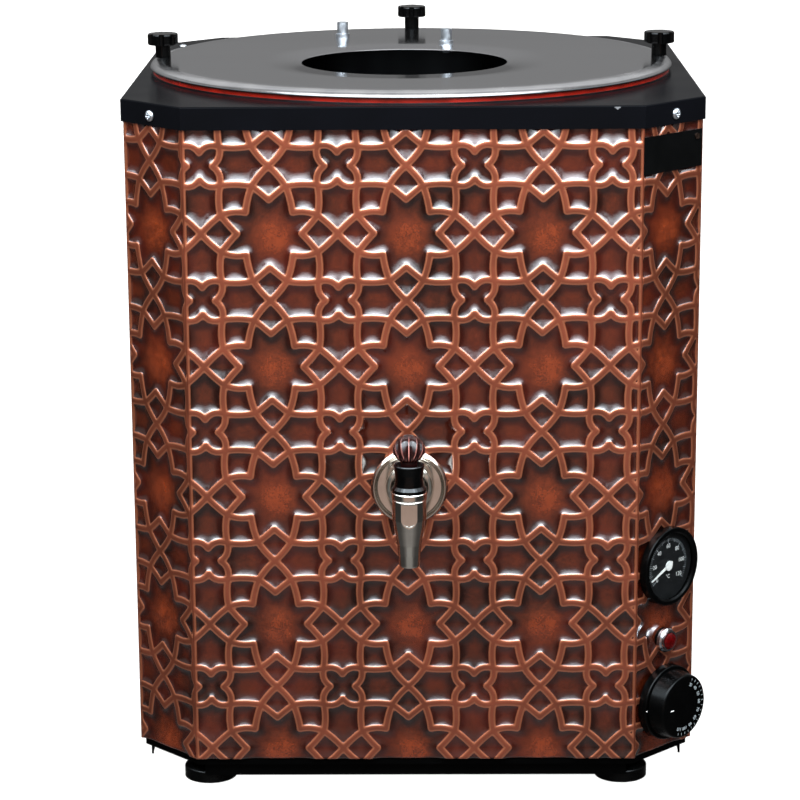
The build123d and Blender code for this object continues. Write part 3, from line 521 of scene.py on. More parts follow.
@dataclass(frozen=True)
class Ridged(Finish):
    """Dark brown moulded acrylic, polished, with a painted highlight that pales its sharp ridges.
    """

    # painted highlight: the pale tone along the knob's ridges
    ridge: str = "B4746A"

    def colour(self, tree: Tree, patches: Socket) -> Socket:
        """The base colour, turning to the pale painted highlight tone where the piece's stored
        highlight share is one.
        """
        return mix(tree, stored(tree, "ridge"), super().colour(tree, patches),
                   hex_colour(self.ridge))


class Surface(Enum):
    """Every finish: its name, light and dark tone, roughness, patches and grain."""

    COPPER = AntiqueCopper("antique_copper_sheet", "964B33", "783B26", (0.26, 0.36),
                           metallic=0.85, coat=(1.0, 0.16))
    BLACK_ENAMEL = Finish("black_stove_enamel", "060608", "050506", (0.18, 0.26), 60,
                          (1.6, 0.012), ior=1.07)
    # painted shade: a darker copy of the black enamel, for the low pieces that lie in shade
    DIP_ENAMEL = Finish("black_enamel_darkened_for_shade", "020202", "010101", (0.2, 0.28), 60, (1.2, 0.01),
                        ior=1.1)
    SATIN_STEEL = Metal("satin_stainless_sheet", "BEBFC3", "B8B9BE", (0.12, 0.17), 90,
                        (0.4, 0.0008), stretch=(0.05, 1.0, 1.0))
    # painted highlight: the rolled rim's lighter tone stands for its bright reflection; its
    # brushing is real
    BRUSHED_RIM = Metal("brushed_stainless_rim_painted_highlight", "DEDFE2", "C8CACE", (0.19, 0.28), 24,
                        (0.5, 0.002))
    # painted shade: the stainless is darkened for the shade inside the covered tank
    TANK_STEEL = Metal("stainless_darkened_for_shade", "4A4A4C", "3A3A3C", (0.25, 0.36), 40,
                       (0.8, 0.004), stretch=(1.0, 1.0, 0.08))
    CHROME = Metal("polished_chrome", "E2DAD0", "D4CCC2", (0.06, 0.11), 12)
    ZINC = Metal("bright_zinc_plate", "D4D7DB", "BEC1C7", (0.28, 0.4), 4, (0.4, 0.0008))
    GLOSS_BLACK = Finish("gloss_moulded_phenolic", "020202", "010101", (0.07, 0.14), 8,
                         (2.0, 0.006), ior=1.3)
    SATIN_BLACK = Finish("satin_moulded_nylon", "020202", "010101", (0.2, 0.28), 14,
                         (0.5, 0.006), ior=1.17)
    FOOT_BLACK = Finish("hard_rubber_foot", "020202", "010101", (0.2, 0.3), 10, (0.8, 0.01),
                        ior=1.25)
    PLATE_BLACK = Finish("satin_black_plate", "030303", "020202", (0.26, 0.34), 18,
                         (0.6, 0.004), ior=1.25)
    # painted shade: the red is darkened for the shade under the lid's rolled rim
    RED_SILICONE = Finish("red_silicone_darkened_for_shade", "7A1207", "560B03", (0.18, 0.28), 16,
                          (3.0, 0.03), ior=1.41, coat=(0.2, 0.05))
    WHITE_SILICONE = Finish("white_silicone_rubber", "D8D8D4", "CBCBC6", (0.4, 0.5), 6)
    SMOKED_ACRYLIC = Ridged("smoked_brown_acrylic", "1C0807", "0E0404", (0.1, 0.16), 5, ior=1.35)
    DIAL_BLACK = Finish("matt_printed_dial", "121314", "0D0E0F", (0.45, 0.55), 8, (0.4, 0.003))
    PRINT_GREY = Finish("grey_screen_print", "8E9294", "808486", (0.45, 0.55), 5)
    PRINT_WHITE = Finish("white_screen_print", "E4E4E0", "D6D6D2", (0.45, 0.55), 5)
    POINTER_WHITE = Finish("white_lacquered_pointer", "F0EFEA", "E2E1DC", (0.3, 0.4), 5)
    CLEAR_GLASS = Finish("clear_window_glass", "020202", "010101", (0.01, 0.03), 30, alpha=0.2)
    RED_LENS = Finish("clear_red_polycarbonate", "400203", "220101", (0.04, 0.08), 3, ior=1.25)
    CHROMED_PLASTIC = Metal("chromed_plastic", "CFCFD2", "C0C0C4", (0.1, 0.16), 5)
    DARK_RIVET = Metal("dark_lacquered_rivet", "3A2A22", "241812", (0.3, 0.45), 2, metallic=0.8)
    GLASS_WOOL = Finish("glass_wool_blanket", "D8CF9A", "BFB27A", (0.85, 0.95), 9, (2.0, 0.6))
    COPPER_TUBE = Metal("drawn_copper_tube", "C87A50", "A45C38", (0.3, 0.42), 8)
    SHEATH = Metal("heat_tinted_sheath", "77706A", "504A48", (0.35, 0.5), 14, (0.6, 0.006))
    CERAMIC = Finish("glazed_steatite", "E6E2D6", "D8D2C2", (0.2, 0.3), 7, (0.5, 0.004))
    SLEEVE = Finish("glass_fibre_sleeve", "C8BFA8", "A89C84", (0.7, 0.85), 3, (0.7, 0.08))
    CASE_STEEL = Metal("zinc_coated_case", "B4B6B8", "9A9CA0", (0.3, 0.42), 9)
    SPRING_STEEL = Metal("drawn_spring_wire", "B0B0B0", "909090", (0.25, 0.35), 3)
    PALE_FLOOR = Finish("pale_studio_floor", "F2F2F2", "EFEFEF", (0.75, 0.85), 400)


def dress(piece: Piece, surface: Surface) -> None:
    """Gives the whole piece one finish."""
    piece.data.materials.clear()
    piece.data.materials.append(surface.value.make())


def stand_for(piece: Piece, surface: Surface, body: str, slot: str, *nodes: str) -> Piece:
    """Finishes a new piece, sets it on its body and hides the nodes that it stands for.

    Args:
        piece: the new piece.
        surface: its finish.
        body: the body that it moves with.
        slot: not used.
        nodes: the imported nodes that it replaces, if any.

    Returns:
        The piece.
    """
    dress(piece, surface)
    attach(piece, body)
    if nodes:
        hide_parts(*nodes)
    log.info("%s: %d faces", piece.name, len(piece.data.polygons))
    return piece


# ---------------------------------------------------------------- studio


@dataclass
class Studio:
    """The camera of the photograph, a pale floor and soft lights."""

    focal_px: float = 2784.17
    image_px: float = 800.0
    sensor_mm: float = 36.0
    eye: Triple = (7.81, -2202.33, 803.43)
    pitch_deg: float = 14.078
    yaw_deg: float = 0.518
    roll_deg: float = 0.315
    floor_half_m: float = 30.0
    floor_sun: float = 4.2
    sun_angle_deg: float = 60.0
    arch_aim: Triple = (0.0, -0.2, 0.3)
    arch_radius: float = 1.6
    arch_tint: Triple = (0.8, 0.92, 1.0)
    card_tint: Triple = (1.0, 0.5, 0.34)
    haze_tint: Triple = (0.88, 1.0, 0.96)
    side_air: float = 0.28
    lid_names: tuple[str, ...] = ("rolled_lid", "lid")
    tap_names: tuple[str, ...] = ("turned_rosette", "tapered_spout", "tap_barrel")
    air: tuple[Pair, ...] = (
        (-1.0, 0.34), (-0.44, 0.22), (-0.31, 0.145), (0.0, 0.15), (0.2, 0.31), (0.33, 0.33),
        (0.5, 0.18), (0.7, 0.2), (0.88, 0.5), (1.0, 0.55))
    plane: Piece | None = None
    lamps: dict[str, list[Piece]] = field(default_factory=dict)

    def camera(self) -> None:
        """Stands the camera where the photograph was taken from.

        The view turns by the yaw about the upright, dips by the pitch and rolls about its
        own line of sight.
        """
        p, a, r = (math.radians(v) for v in (self.pitch_deg, self.yaw_deg, self.roll_deg))
        right = Vector((math.cos(a), math.sin(a), 0))
        ahead = Vector((-math.sin(a) * math.cos(p), math.cos(a) * math.cos(p), -math.sin(p)))
        up = Vector((-math.sin(a) * math.sin(p), math.cos(a) * math.sin(p), math.cos(p)))
        image_right = math.cos(r) * right - math.sin(r) * up
        image_up = math.sin(r) * right + math.cos(r) * up
        lens = bpy.data.cameras.new("camera")
        lens.sensor_width = self.sensor_mm
        lens.lens = self.focal_px / self.image_px * self.sensor_mm
        lens.clip_end = 100
        holder = bpy.data.objects.new("camera", lens)
        turn = Matrix((image_right, image_up, -ahead)).transposed()
        holder.matrix_world = Matrix.Translation(to_scene(np.array(self.eye))[0]) @ turn.to_4x4()
        bpy.context.scene.collection.objects.link(holder)
        bpy.context.scene.camera = holder

    def hang(self, lamp: bpy.types.Light, lit: str, at: Triple) -> Piece:
        """Hangs a light at a point in metres for one group of pieces."""
        holder = bpy.data.objects.new(lamp.name, lamp)
        holder.location = at
        bpy.context.scene.collection.objects.link(holder)
        self.lamps.setdefault(lit, []).append(holder)
        return holder

    def soft_box(self, name: str, lit: str, at: Triple, towards: Triple, size: Pair,
                 radiance: float, tint: Triple = (1.0, 1.0, 1.0)) -> None:
        """Hangs a rectangular soft box of power pi x area x radiance.

        Args:
            name: the light's name.
            lit: the group of pieces that it lights.
            at: where its middle hangs, in metres.
            towards: the point that it faces.
            size: its width and height.
            radiance: the brightness that a mirror would show.
            tint: its colour.
        """
        lamp = bpy.data.lights.new(name, "AREA")
        lamp.shape = "RECTANGLE"
        lamp.size, lamp.size_y = size
        lamp.energy = math.pi * size[0] * size[1] * radiance
        lamp.color = tint
        way = Vector(towards) - Vector(at)
        self.hang(lamp, lit, at).rotation_euler = way.to_track_quat("-Z", "Y").to_euler()

    def arch_light(self, name: str, azimuth: float, elevation: float, size: Pair,
                   radiance: float) -> None:
        """Hangs one box of the arch: distance x (sin a cos e, -cos a cos e, sin e)."""
        a, e = math.radians(azimuth), math.radians(elevation)
        way = np.array([math.sin(a) * math.cos(e), -math.cos(a) * math.cos(e), math.sin(e)])
        at = tuple(np.array(self.arch_aim) + way * self.arch_radius)
        self.soft_box(name, "object_lit", at, self.arch_aim, size, radiance, self.arch_tint)

    def world(self) -> None:
        """Soft light from all round: pale from below, dim towards the horizon, paler above.

        The grey depends on the height of the direction, and below the horizon it falls to
        the sides, so black and chrome pieces keep dark edges.
        """
        world = bpy.data.worlds.new("studio_air")
        world.use_nodes = True
        tree = world.node_tree
        way = add_node(tree, "TexCoord").outputs["Generated"]
        parts = add_node(tree, "SeparateXYZ", {0: way}).outputs
        share = spread(tree, parts["Z"], 0.0, 1.0, -1.0, 1.0)
        grey = ramp(tree, share, [((z + 1) / 2, value) for z, value in self.air])
        aside = combine(tree, "ABSOLUTE", parts["X"])
        dim = ramp(tree, aside, [(0.3, 1.0), (0.8, self.side_air)])
        shade = mix(tree, 1.0, grey, dim, "MULTIPLY")
        above = ramp(tree, share, [(0.53, 0.0), (0.58, 1.0)])
        whole = mix(tree, above, shade, grey)
        tree.links.new(whole, tree.nodes["Background"].inputs["Color"])
        bpy.context.scene.world = world
        bpy.context.scene.view_settings.view_transform = "Standard"

    def lights(self) -> None:
        """An arch of boxes over the front and sides, and even light down on the floor.

        The arch gives each slope of the embossing that faces up, straight or slanting, a soft
        white reflection that fades as the slope flattens.
        """
        for elevation, height, radiance in ((19, 0.26, 1.6), (28, 0.26, 4.5), (38, 0.3, 10.0),
                                            (56, 0.75, 20.0)):
            self.arch_light(f"arch_{elevation}", 0, elevation, (2.0, height), radiance)
        for side, name in ((-1, "left"), (1, "right")):
            self.arch_light(f"arch_{name}", side * 56, 42, (0.7, 0.9), 13.0)
            self.arch_light(f"arch_{name}_end", side * 92, 40, (0.7, 0.8), 5.0)
        self.soft_box("warm_card", "object_lit", (0.0, -1.25, 0.12), (0.0, 0.0, 0.12),
                      (1.5, 0.6), 0.23, self.card_tint)
        self.soft_box("tap_card", "tap_lit", (0.0, -1.5, 0.1), (0.0, 0.0, 0.1), (2.6, 1.2),
                      0.09, self.haze_tint)
        self.soft_box("rim_box", "lid_lit", (0.0, -1.16, 1.67), (0.0, -0.2, 0.52), (3.6, 1.9),
                      2.2)
        self.soft_box("back_box", "all_lit", (0.0, 4.5, 4.0), (0.0, 4.5, 0.0), (9.0, 6.0),
                      0.47157)
        lamp = bpy.data.lights.new("floor_sky", "SUN")
        lamp.energy = self.floor_sun
        lamp.angle = math.radians(self.sun_angle_deg)
        self.hang(lamp, "floor_lit", (0.0, 0.0, 3.0))

    def floor(self) -> None:
        """A wide flat floor, kept out of reflections."""
        half = self.floor_half_m
        mesh = bpy.data.meshes.new("floor")
        mesh.from_pydata([(-half, -half, 0), (half, -half, 0), (half, half, 0),
                          (-half, half, 0)], [], [(0, 1, 2, 3)])
        self.plane = bpy.data.objects.new("floor", mesh)
        self.plane.visible_glossy = False
        bpy.context.scene.collection.objects.link(self.plane)
        dress(self.plane, Surface.PALE_FLOOR)

    def share_light(self) -> None:
        """Gives the floor, the lid and the other pieces each their own boxes, once all is built.

        The arch is kept off the floor, which stays even, and off the lid, which takes one
        wide box high in front for its rolled rim. The tap's chrome takes one faint wide card
        more. The back box lights all, and the floor's own light throws no shadow.
        """
        pieces = [o for o in bpy.context.scene.objects if o.type == "MESH" and o != self.plane]
        groups = {"object_lit": [o for o in pieces if o.name not in self.lid_names],
                  "lid_lit": [o for o in pieces if o.name in self.lid_names],
                  "tap_lit": [o for o in pieces if o.name in self.tap_names],
                  "floor_lit": [self.plane]}
        for name, members in groups.items():
            group = bpy.data.collections.new(name)
            for member in members:
                group.objects.link(member)
            for light in self.lamps[name]:
                light.light_linking.receiver_collection = group
                if name == "floor_lit":
                    light.light_linking.blocker_collection = group

    def build(self) -> None:
        """Sets up the whole studio."""
        self.camera()
        self.world()
        self.lights()
        self.floor()


# ---------------------------------------------------------------- casing


class Side(Enum):
    """The eight faces of the casing, by the turn of their outward normal from the front."""

    FRONT = 0
    FRONT_RIGHT = 1
    RIGHT = 2
    REAR_RIGHT = 3
    REAR = 4
    REAR_LEFT = 5
    LEFT = 6
    FRONT_LEFT = 7


def part_way(value: Array, start: float, length: float) -> Array:
    """How far a value has come over a length: zero up to its start, one past its end."""
    return np.clip((value - start) / length, 0, 1)


def smooth_step(share: Array) -> Array:
    """The share with level ends: t^2 (3 - 2 t)."""
    return share * share * (3 - 2 * share)


@dataclass
class EmbossedCasing:
    """The embossed sheet round the body: an eight-sided wall with a lattice of eight-pointed
    stars and four-petal flowers pressed into it.

    The sheet's level at a point is a function of the distance to the nearest rib of the
    lattice. All ribs of one tile lie mirrored about its middle lines, so the point is folded
    into a quarter of the tile first. Each "run" is a start and a length in millimetres.
    """

    half: float = 213.4
    leg: float = 46.86
    bottom: float = 23.0
    top: float = 520.8
    fold_radius: float = 3.0
    relief: float = 2.75
    wall: float = 3.6
    tile: float = 99.4
    star_x: float = -5.0
    star_level: float = 429.3
    star_reach: float = 0.2
    rib_half_width: float = 2.0
    slope_width: float = 7.2
    crown: float = 0.07
    column_step: float = 1.31
    row_step: float = 1.3
    middle_bulge: float = 1.1
    eased_run: Pair = (2.6, 1.6)
    deep_run: Pair = (5.5, 5.0)
    fold_run: Pair = (1.0, 3.0)
    fold_power: float = 1.7
    fold_rib: float = 0.6
    # painted reflection: moves the stars' light copper down and right, where their pillows' lower
    # halves face down
    glow_shift: Pair = (2.5, -3.0)
    deep_glow: float = 0.3
    star_glow: float = 0.95

    def ribs(self) -> Array:
        """The ribs of a quarter tile as start and end points in tile widths.

        Points: outward star points, inward star corners, crossings half way to the next star,
        and the corner where four ribs meet beside the flower. Each rib is a bow of five
        short chords.
        """
        high, wide, corner = (0.123, 0.353), (0.354, 0.138), (0.355, 0.358)
        inner_up, inner_side, inner_diagonal = (0.0, 0.250), (0.237, 0.0), (0.172, 0.157)
        cross_up, cross_side = (0.0, 0.5), (0.5, 0.0)
        bows = [
            (inner_up, (0.068, 0.312), high), (high, (0.24, 0.376), corner),
            (cross_up, (0.074, 0.436), high), (high, (0.160, 0.262), inner_diagonal),
            (inner_side, (0.305, 0.070), wide), (wide, (0.376, 0.25), corner),
            (cross_side, (0.436, 0.076), wide), (wide, (0.262, 0.178), inner_diagonal),
            (corner, (0.450, 0.325), (0.5, 0.402)), (corner, (0.334, 0.446), (0.406, 0.5)),
        ]
        curves = [bow(*np.array(points), 6) for points in bows]
        return np.concatenate([np.stack([c[:-1], c[1:]], 1) for c in curves])

    def in_tile(self, s: Array, z: Array) -> Array:
        """Where points lie in their tile, in tile widths from the star's middle."""
        return (np.stack([s, z - self.star_level]) / self.tile + 0.5) % 1.0 - 0.5

    def rib_distance(self, s: Array, z: Array) -> Array:
        """Distance in millimetres to the nearest rib's middle line.

        The distance to a run from A to B is |P - A - t (B - A)| with t the foot of the
        perpendicular, held between 0 and 1, and the least over all runs is kept.
        """
        u, v = np.abs(self.in_tile(s, z))
        nearest = np.full(u.shape, np.inf)
        for start, end in self.ribs():
            run = end - start
            t = ((u - start[0]) * run[0] + (v - start[1]) * run[1]) / (run @ run)
            t = np.clip(t, 0, 1)
            away = np.hypot(u - start[0] - t * run[0], v - start[1] - t * run[1])
            nearest = np.minimum(nearest, away)
        return nearest * self.tile

    def star_nearness(self, s: Array, z: Array) -> Array:
        """One at a star's middle, falling evenly to zero at its inner corners, then eased."""
        return smooth_step(np.clip(1 - np.hypot(*self.in_tile(s, z)) / self.star_reach, 0, 1))

    @staticmethod
    def eased(height: Array, share: Array) -> Array:
        """Evens out the creases in the cells: each point moves to its neighbours' average.

        Two passes of the weights 1 4 6 4 1 along the rows and the columns, kept by the share.
        """
        soft = height
        for _ in range(2):
            for axis in (0, 1):
                padded = np.pad(soft, [(2, 2) if k == axis else (0, 0) for k in (0, 1)], "edge")
                size = soft.shape[axis]
                parts = [w * np.take(padded, range(i, i + size), axis)
                         for i, w in enumerate((1, 4, 6, 4, 1))]
                soft = sum(parts) / 16
        return height * (1 - share) + soft * share

    def level(self, s: Array, z: Array, fold_gap: Array) -> tuple[Array, Array, Array]:
        """The sheet's height above the cell floors, as a share of the relief.

        height = (1 - t)^2 beyond the rib's flat top, with t the distance into the slope, less
        a low crown on the rib, plus a pillow in the middle of each star. The folds between
        faces stand up as ribs too.

        Args:
            s: distance along the wall.
            z: level above the floor.
            fold_gap: distance to the nearest fold.

        Returns:
            The height, the distance to the nearest rib or fold, and the mask of the middles'
            light copper, partly rubbed copper and partly painted reflection.
        """
        away = self.rib_distance(s, z)
        t = part_way(away, self.rib_half_width, self.slope_width)
        crown = self.crown * part_way(away, 0, self.rib_half_width) ** 3
        height = (1 - t) ** 2 - crown * (1 - t) ** 6
        height = self.eased(height, part_way(away, *self.eased_run))
        height = height + self.middle_bulge / self.relief * self.star_nearness(s, z)
        fold = (1 - part_way(fold_gap, *self.fold_run)) ** self.fold_power
        # the stars' light copper, set down and right: partly rubbed copper, partly painted
        # reflection
        wear_and_reflection = self.star_nearness(s - self.glow_shift[0], z - self.glow_shift[1])
        middle = self.deep_glow * part_way(away, *self.deep_run) + self.star_glow * wear_and_reflection
        near = np.minimum(away, fold_gap + self.fold_rib)
        return np.clip(np.maximum(height, fold), 0, 1), near, np.clip(middle, 0, 1)

    def columns(self, side: Side) -> tuple[Array, Array, Array, Array]:
        """Where the wall's columns stand on one face.

        A wide face takes the round folds at both its ends: there the normal turns by
        22.5 degrees x distance / tangent length. A narrow face is flat.

        Returns:
            Points on the outer outline, their normals, the distance along the wall from the
            front's star column, and the distance to the nearest fold.
        """
        wide = side.value % 2 == 0
        flat, narrow = 2 * (self.half - self.leg), math.sqrt(2) * self.leg
        width = flat if wide else narrow
        half_fold = math.radians(22.5)
        tangent = self.fold_radius * math.tan(half_fold)
        count = math.ceil((width - 2 * tangent) / self.column_step) + 1
        along = np.linspace(tangent, width - tangent, count)
        if wide:
            arc = np.linspace(-tangent, tangent, 5)
            along = np.concatenate([arc, along[1:-1], width + arc])
        turn = math.radians(45 * side.value - 90)
        normal = np.array([math.cos(turn), math.sin(turn)])
        ahead = np.array([-normal[1], normal[0]])
        reach = self.half if wide else (2 * self.half - self.leg) / math.sqrt(2)
        start = normal * reach - ahead * width / 2
        points, normals = start + ahead * along[:, None], np.tile(normal, (len(along), 1))
        for corner, sign in ((0.0, -1.0), (width, 1.0)) if wide else ():
            gap = (along - corner)[:, None]
            near = np.abs(gap) <= tangent + 1e-9
            swing = half_fold * (gap / tangent + sign)
            centre = start + ahead * (corner - sign * tangent) - normal * self.fold_radius
            bent = normal * np.cos(swing) + ahead * np.sin(swing)
            points = np.where(near, centre + bent * self.fold_radius, points)
            normals = np.where(near, bent, normals)
        fold_gap = np.minimum(np.abs(along), np.abs(along - width))
        base = sum(narrow if k % 2 else flat for k in range(side.value))
        past_back = (side.value > 4) | ((side is Side.REAR) & (along > width / 2))
        distance = along + base - (self.star_x + flat / 2) - past_back * 4 * (flat + narrow)
        return points, normals, distance, fold_gap

    def face(self, side: Side) -> Piece:
        """One face of the wall as a closed sheet: pressed outside, flat inside."""
        points, normals, distance, fold_gap = self.columns(side)
        columns = len(distance)
        rows = round((self.top - self.bottom) / self.row_step) + 1
        s_grid, z_grid = np.meshgrid(distance, np.linspace(self.bottom, self.top, rows))
        height, away, middle = self.level(s_grid, z_grid, fold_gap)
        depth = (1 - height)[..., None] * self.relief
        sheet = np.concatenate([points - normals * depth, z_grid[..., None]], 2)
        backs = [np.column_stack([points - normals * self.wall, np.full(columns, level)])
                 for level in (self.bottom, self.top)]
        top_row, low_row, high_row = ((rows + k) * columns for k in (-1, 0, 1))
        faces = grid_faces(rows, columns, False).tolist()
        c = np.arange(columns - 1)
        for a, b in ((low_row, 0), (top_row, high_row), (high_row, low_row)):
            faces += np.stack([a + c, a + c + 1, b + c + 1, b + c], -1).tolist()
        edge, far = np.arange(rows) * columns, columns - 1
        faces += [[low_row, *edge.tolist(), high_row],
                  [low_row + far, high_row + far, *(edge[::-1] + far).tolist()]]
        piece = link_mesh("embossed_" + side.name.lower(),
                          np.vstack([sheet.reshape(-1, 3), *backs]), faces)
        pressed = np.arange(len(faces)) < (rows - 1) * far
        piece.data.polygons.foreach_set("use_smooth", pressed)
        set_values(piece, away=away, middle=middle)
        return piece

    def build(self) -> None:
        """Builds all eight faces in place of the plain sheet."""
        for side in Side:
            stand_for(self.face(side), Surface.COPPER, "base", "copper_sheet", "body_panel")


@dataclass
class RearSeam:
    """The folded strip over the sheet's joint at the back, under the row of rivets."""

    half_width: float = 9.0
    front: float = 213.35
    height: float = 0.75
    sunk: float = 0.3
    bottom: float = 24.0
    top: float = 504.0
    rows: int = 60
    steps: int = 25

    def build(self) -> None:
        """A strip with rolled edges: its cross outline is carried up from level to level.

        The outline's height is h sqrt(1 - |x / w|^8), flat with round edges.
        """
        x = self.half_width * np.sin(np.linspace(-math.pi / 2, math.pi / 2, self.steps))
        rise = self.height * np.sqrt(np.clip(1 - np.abs(x / self.half_width) ** 8, 0, 1))
        back = np.full(self.steps, self.front - self.sunk)
        cross = np.vstack([np.column_stack([x, self.front + rise]),
                           np.column_stack([x[::-1], back])])
        z = np.linspace(self.bottom, self.top, self.rows)[:, None, None]
        shape = (self.rows, len(cross))
        grid = np.concatenate([np.broadcast_to(cross, shape + (2,)),
                               np.broadcast_to(z, shape + (1,))], 2)
        piece = skin("rear_seam", grid, flat=True, flip=True)
        set_values(piece, away=np.zeros(1), middle=np.zeros(1))
        stand_for(piece, Surface.COPPER, "base", "copper_sheet")


# ---------------------------------------------------------------- lid, screws and bright fleck


@dataclass
class RolledLid:
    """The round lid: a flat sheet whose rim is rolled down over the gasket."""

    middle: Pair = (-2.0, 0.0)
    hole: Pair = (-7.0, -33.0)
    hole_radius: float = 80.0
    radius: float = 205.5
    top: float = 531.5
    rim_bottom: float = 526.4
    roll: float = 10.0
    sheet: float = 1.0
    edge: float = 0.25
    flat_shares: tuple[float, ...] = (0.0, 0.006, 0.3, 0.6, 0.9)
    rim_rows: int = 12
    segments: int = 288

    def face(self, sheet: float, edge: float) -> Array:
        """Rows of one face of the sheet, from the hole's edge to the end of the rim.

        The rim is a quarter of an ellipse: radius - roll + (roll - sheet) sin t, and
        top - sheet - (drop - sheet) (1 - cos t).

        Args:
            sheet: how far the face lies under the outer one.
            edge: how far the sheet's edge at the hole is rounded, upwards.

        Returns:
            Each ring's share of the way from the hole to the rim's circle, its radius there
            and its level.
        """
        t = np.linspace(0, math.pi / 2, self.rim_rows)
        flat = len(self.flat_shares)
        level, drop = self.top - sheet, self.top - self.rim_bottom - sheet
        rim_radius = self.radius - self.roll + (self.roll - sheet) * np.sin(t)
        return np.column_stack([
            np.concatenate([self.flat_shares, np.ones(self.rim_rows)]),
            np.concatenate([np.zeros(flat), rim_radius]),
            np.concatenate([[level + edge], np.full(flat - 1, level),
                            level - drop * (1 - np.cos(t))])])

    def build(self) -> None:
        """Builds the lid in place of the plain one, its rim in a lighter copy of the steel whose
        lighter tone is a painted highlight.

        Each ring blends the hole's circle into the rim's by its share.
        """
        rings = np.vstack([self.face(0.0, -self.edge), self.face(self.sheet, self.edge)[::-1]])
        share, radius, level = rings.T[:, :, None, None]
        way = turned(np.array(1.0), 0.0, self.segments)[:, :2]
        start = np.array(self.hole) + self.hole_radius * way
        end = np.array(self.middle) + (self.radius - self.roll) * way
        wide = np.array(self.middle) + radius * way
        plan = np.where(share >= 1, wide, start * (1 - share) + end * share)
        grid = np.concatenate([plan, np.broadcast_to(level, plan.shape[:2] + (1,))], 2)
        piece = skin("rolled_lid", grid, flip=True)
        stand_for(piece, Surface.SATIN_STEEL, "lid", "lid_steel", "lid")
        # painted highlight: the rim rows take the lighter copy of the steel
        piece.data.materials.append(Surface.BRUSHED_RIM.value.make())
        kinds = np.zeros((len(rings), self.segments), np.int32)
        first = len(self.flat_shares)
        kinds[first:first + 2 * self.rim_rows - 1] = 1
        piece.data.polygons.foreach_set("material_index", kinds.ravel())


@dataclass
class CrossScrews:
    """Pan-head screws with a cross recess: one on each corner of the band, one on the tray."""

    face_distance: float = 270.25
    level: float = 512.6
    radius: float = 4.15
    height: float = 2.6
    small_at: Pair = (-195.0, 150.0)
    small_radius: float = 3.2
    small_height: float = 2.0
    shank: float = 1.9
    shank_end: float = -5.0
    recess: float = 0.8
    segments: int = 64

    def head(self, name: str, radius: float, height: float, place: Place) -> None:
        """Builds one head and a short shank.

        The head's level is height x sqrt(1 - (r / 1.04 R)^2), and the cross is pressed into
        it by recess x (1 - the distance outside two crossed bars, over their soft edge).
        """
        rings = np.concatenate([np.linspace(0.04, 0.62, 9), np.linspace(0.7, 1.0, 7)])[:, None]
        dome = height * np.sqrt(1 - (rings / 1.04) ** 2)
        top = turned(rings * radius, dome, self.segments)
        x, y = top[..., 0], top[..., 1]
        arm, half, soft = 0.42 * radius, 0.08 * radius, 0.1 * radius
        bars = [np.maximum(np.maximum(np.abs(u) - arm, 0), np.maximum(np.abs(v) - half, 0))
                for u, v in ((x, y), (y, x))]
        top[..., 2] -= self.recess * np.clip(1 - np.minimum(*bars) / soft, 0, 1)
        shank = np.array([[radius, 0.0], [self.shank, 0.0], [self.shank, self.shank_end]])
        grid = np.concatenate([top, turned(shank[:, :1], shank[:, 1:], self.segments)])
        poles = [(0.0, 0.0, height - self.recess), (0.0, 0.0, self.shank_end)]
        piece = skin("screw_" + name, grid, place, poles, flip=True)
        stand_for(piece, Surface.ZINC, "base", "zinc", "tray_screws")

    def build(self) -> None:
        """Builds the five screws in place of the plain ones."""
        corners = {"front_right": (1, -1), "rear_right": (1, 1), "rear_left": (-1, 1),
                   "front_left": (-1, -1)}
        for name, signs in corners.items():
            x, y = (sign * DIAGONAL for sign in signs)
            at = (x * self.face_distance, y * self.face_distance, self.level)
            self.head(name, self.radius, self.height, Place(at, (-y, x, 0.0), (x, y, 0.0)))
        self.head("tray_top", self.small_radius, self.small_height,
                  Place((*self.small_at, TRAY_TOP)))


@dataclass
class BandChip:
    """A small bright grey fleck on the front band's upper edge."""

    at: Pair = (147.0, 520.4)
    size: Pair = (3.6, 2.0)
    front: float = -215.05
    depth: float = 0.3
    highest: float = 521.2

    def build(self) -> None:
        """A ragged patch: radius x (1 + 0.3 sin 3a + 0.2 sin 7a) round its middle."""
        a = circle(28)
        reach = 0.5 * (1 + 0.3 * np.sin(3 * a) + 0.2 * np.sin(7 * a))
        x = self.at[0] + self.size[0] * reach * np.cos(a)
        z = self.at[1] + self.size[1] * reach * np.sin(a)
        rim = np.column_stack([x, np.full(28, self.front), np.minimum(z, self.highest)])
        piece = skin("bright_band_fleck", np.stack([rim, rim + [0, self.depth, 0]]), flat=True,
                     flip=True, smooth=False)
        stand_for(piece, Surface.CASE_STEEL, "base", "zinc")


# ---------------------------------------------------------------- tap


def arc(radius: float, level: float, first_deg: float, last_deg: float, steps: int) -> Array:
    """Radius and level along a circle about the axis: (r cos t, level + r sin t)."""
    t = np.linspace(math.radians(first_deg), math.radians(last_deg), steps)
    return np.column_stack([radius * np.cos(t), level + radius * np.sin(t)])


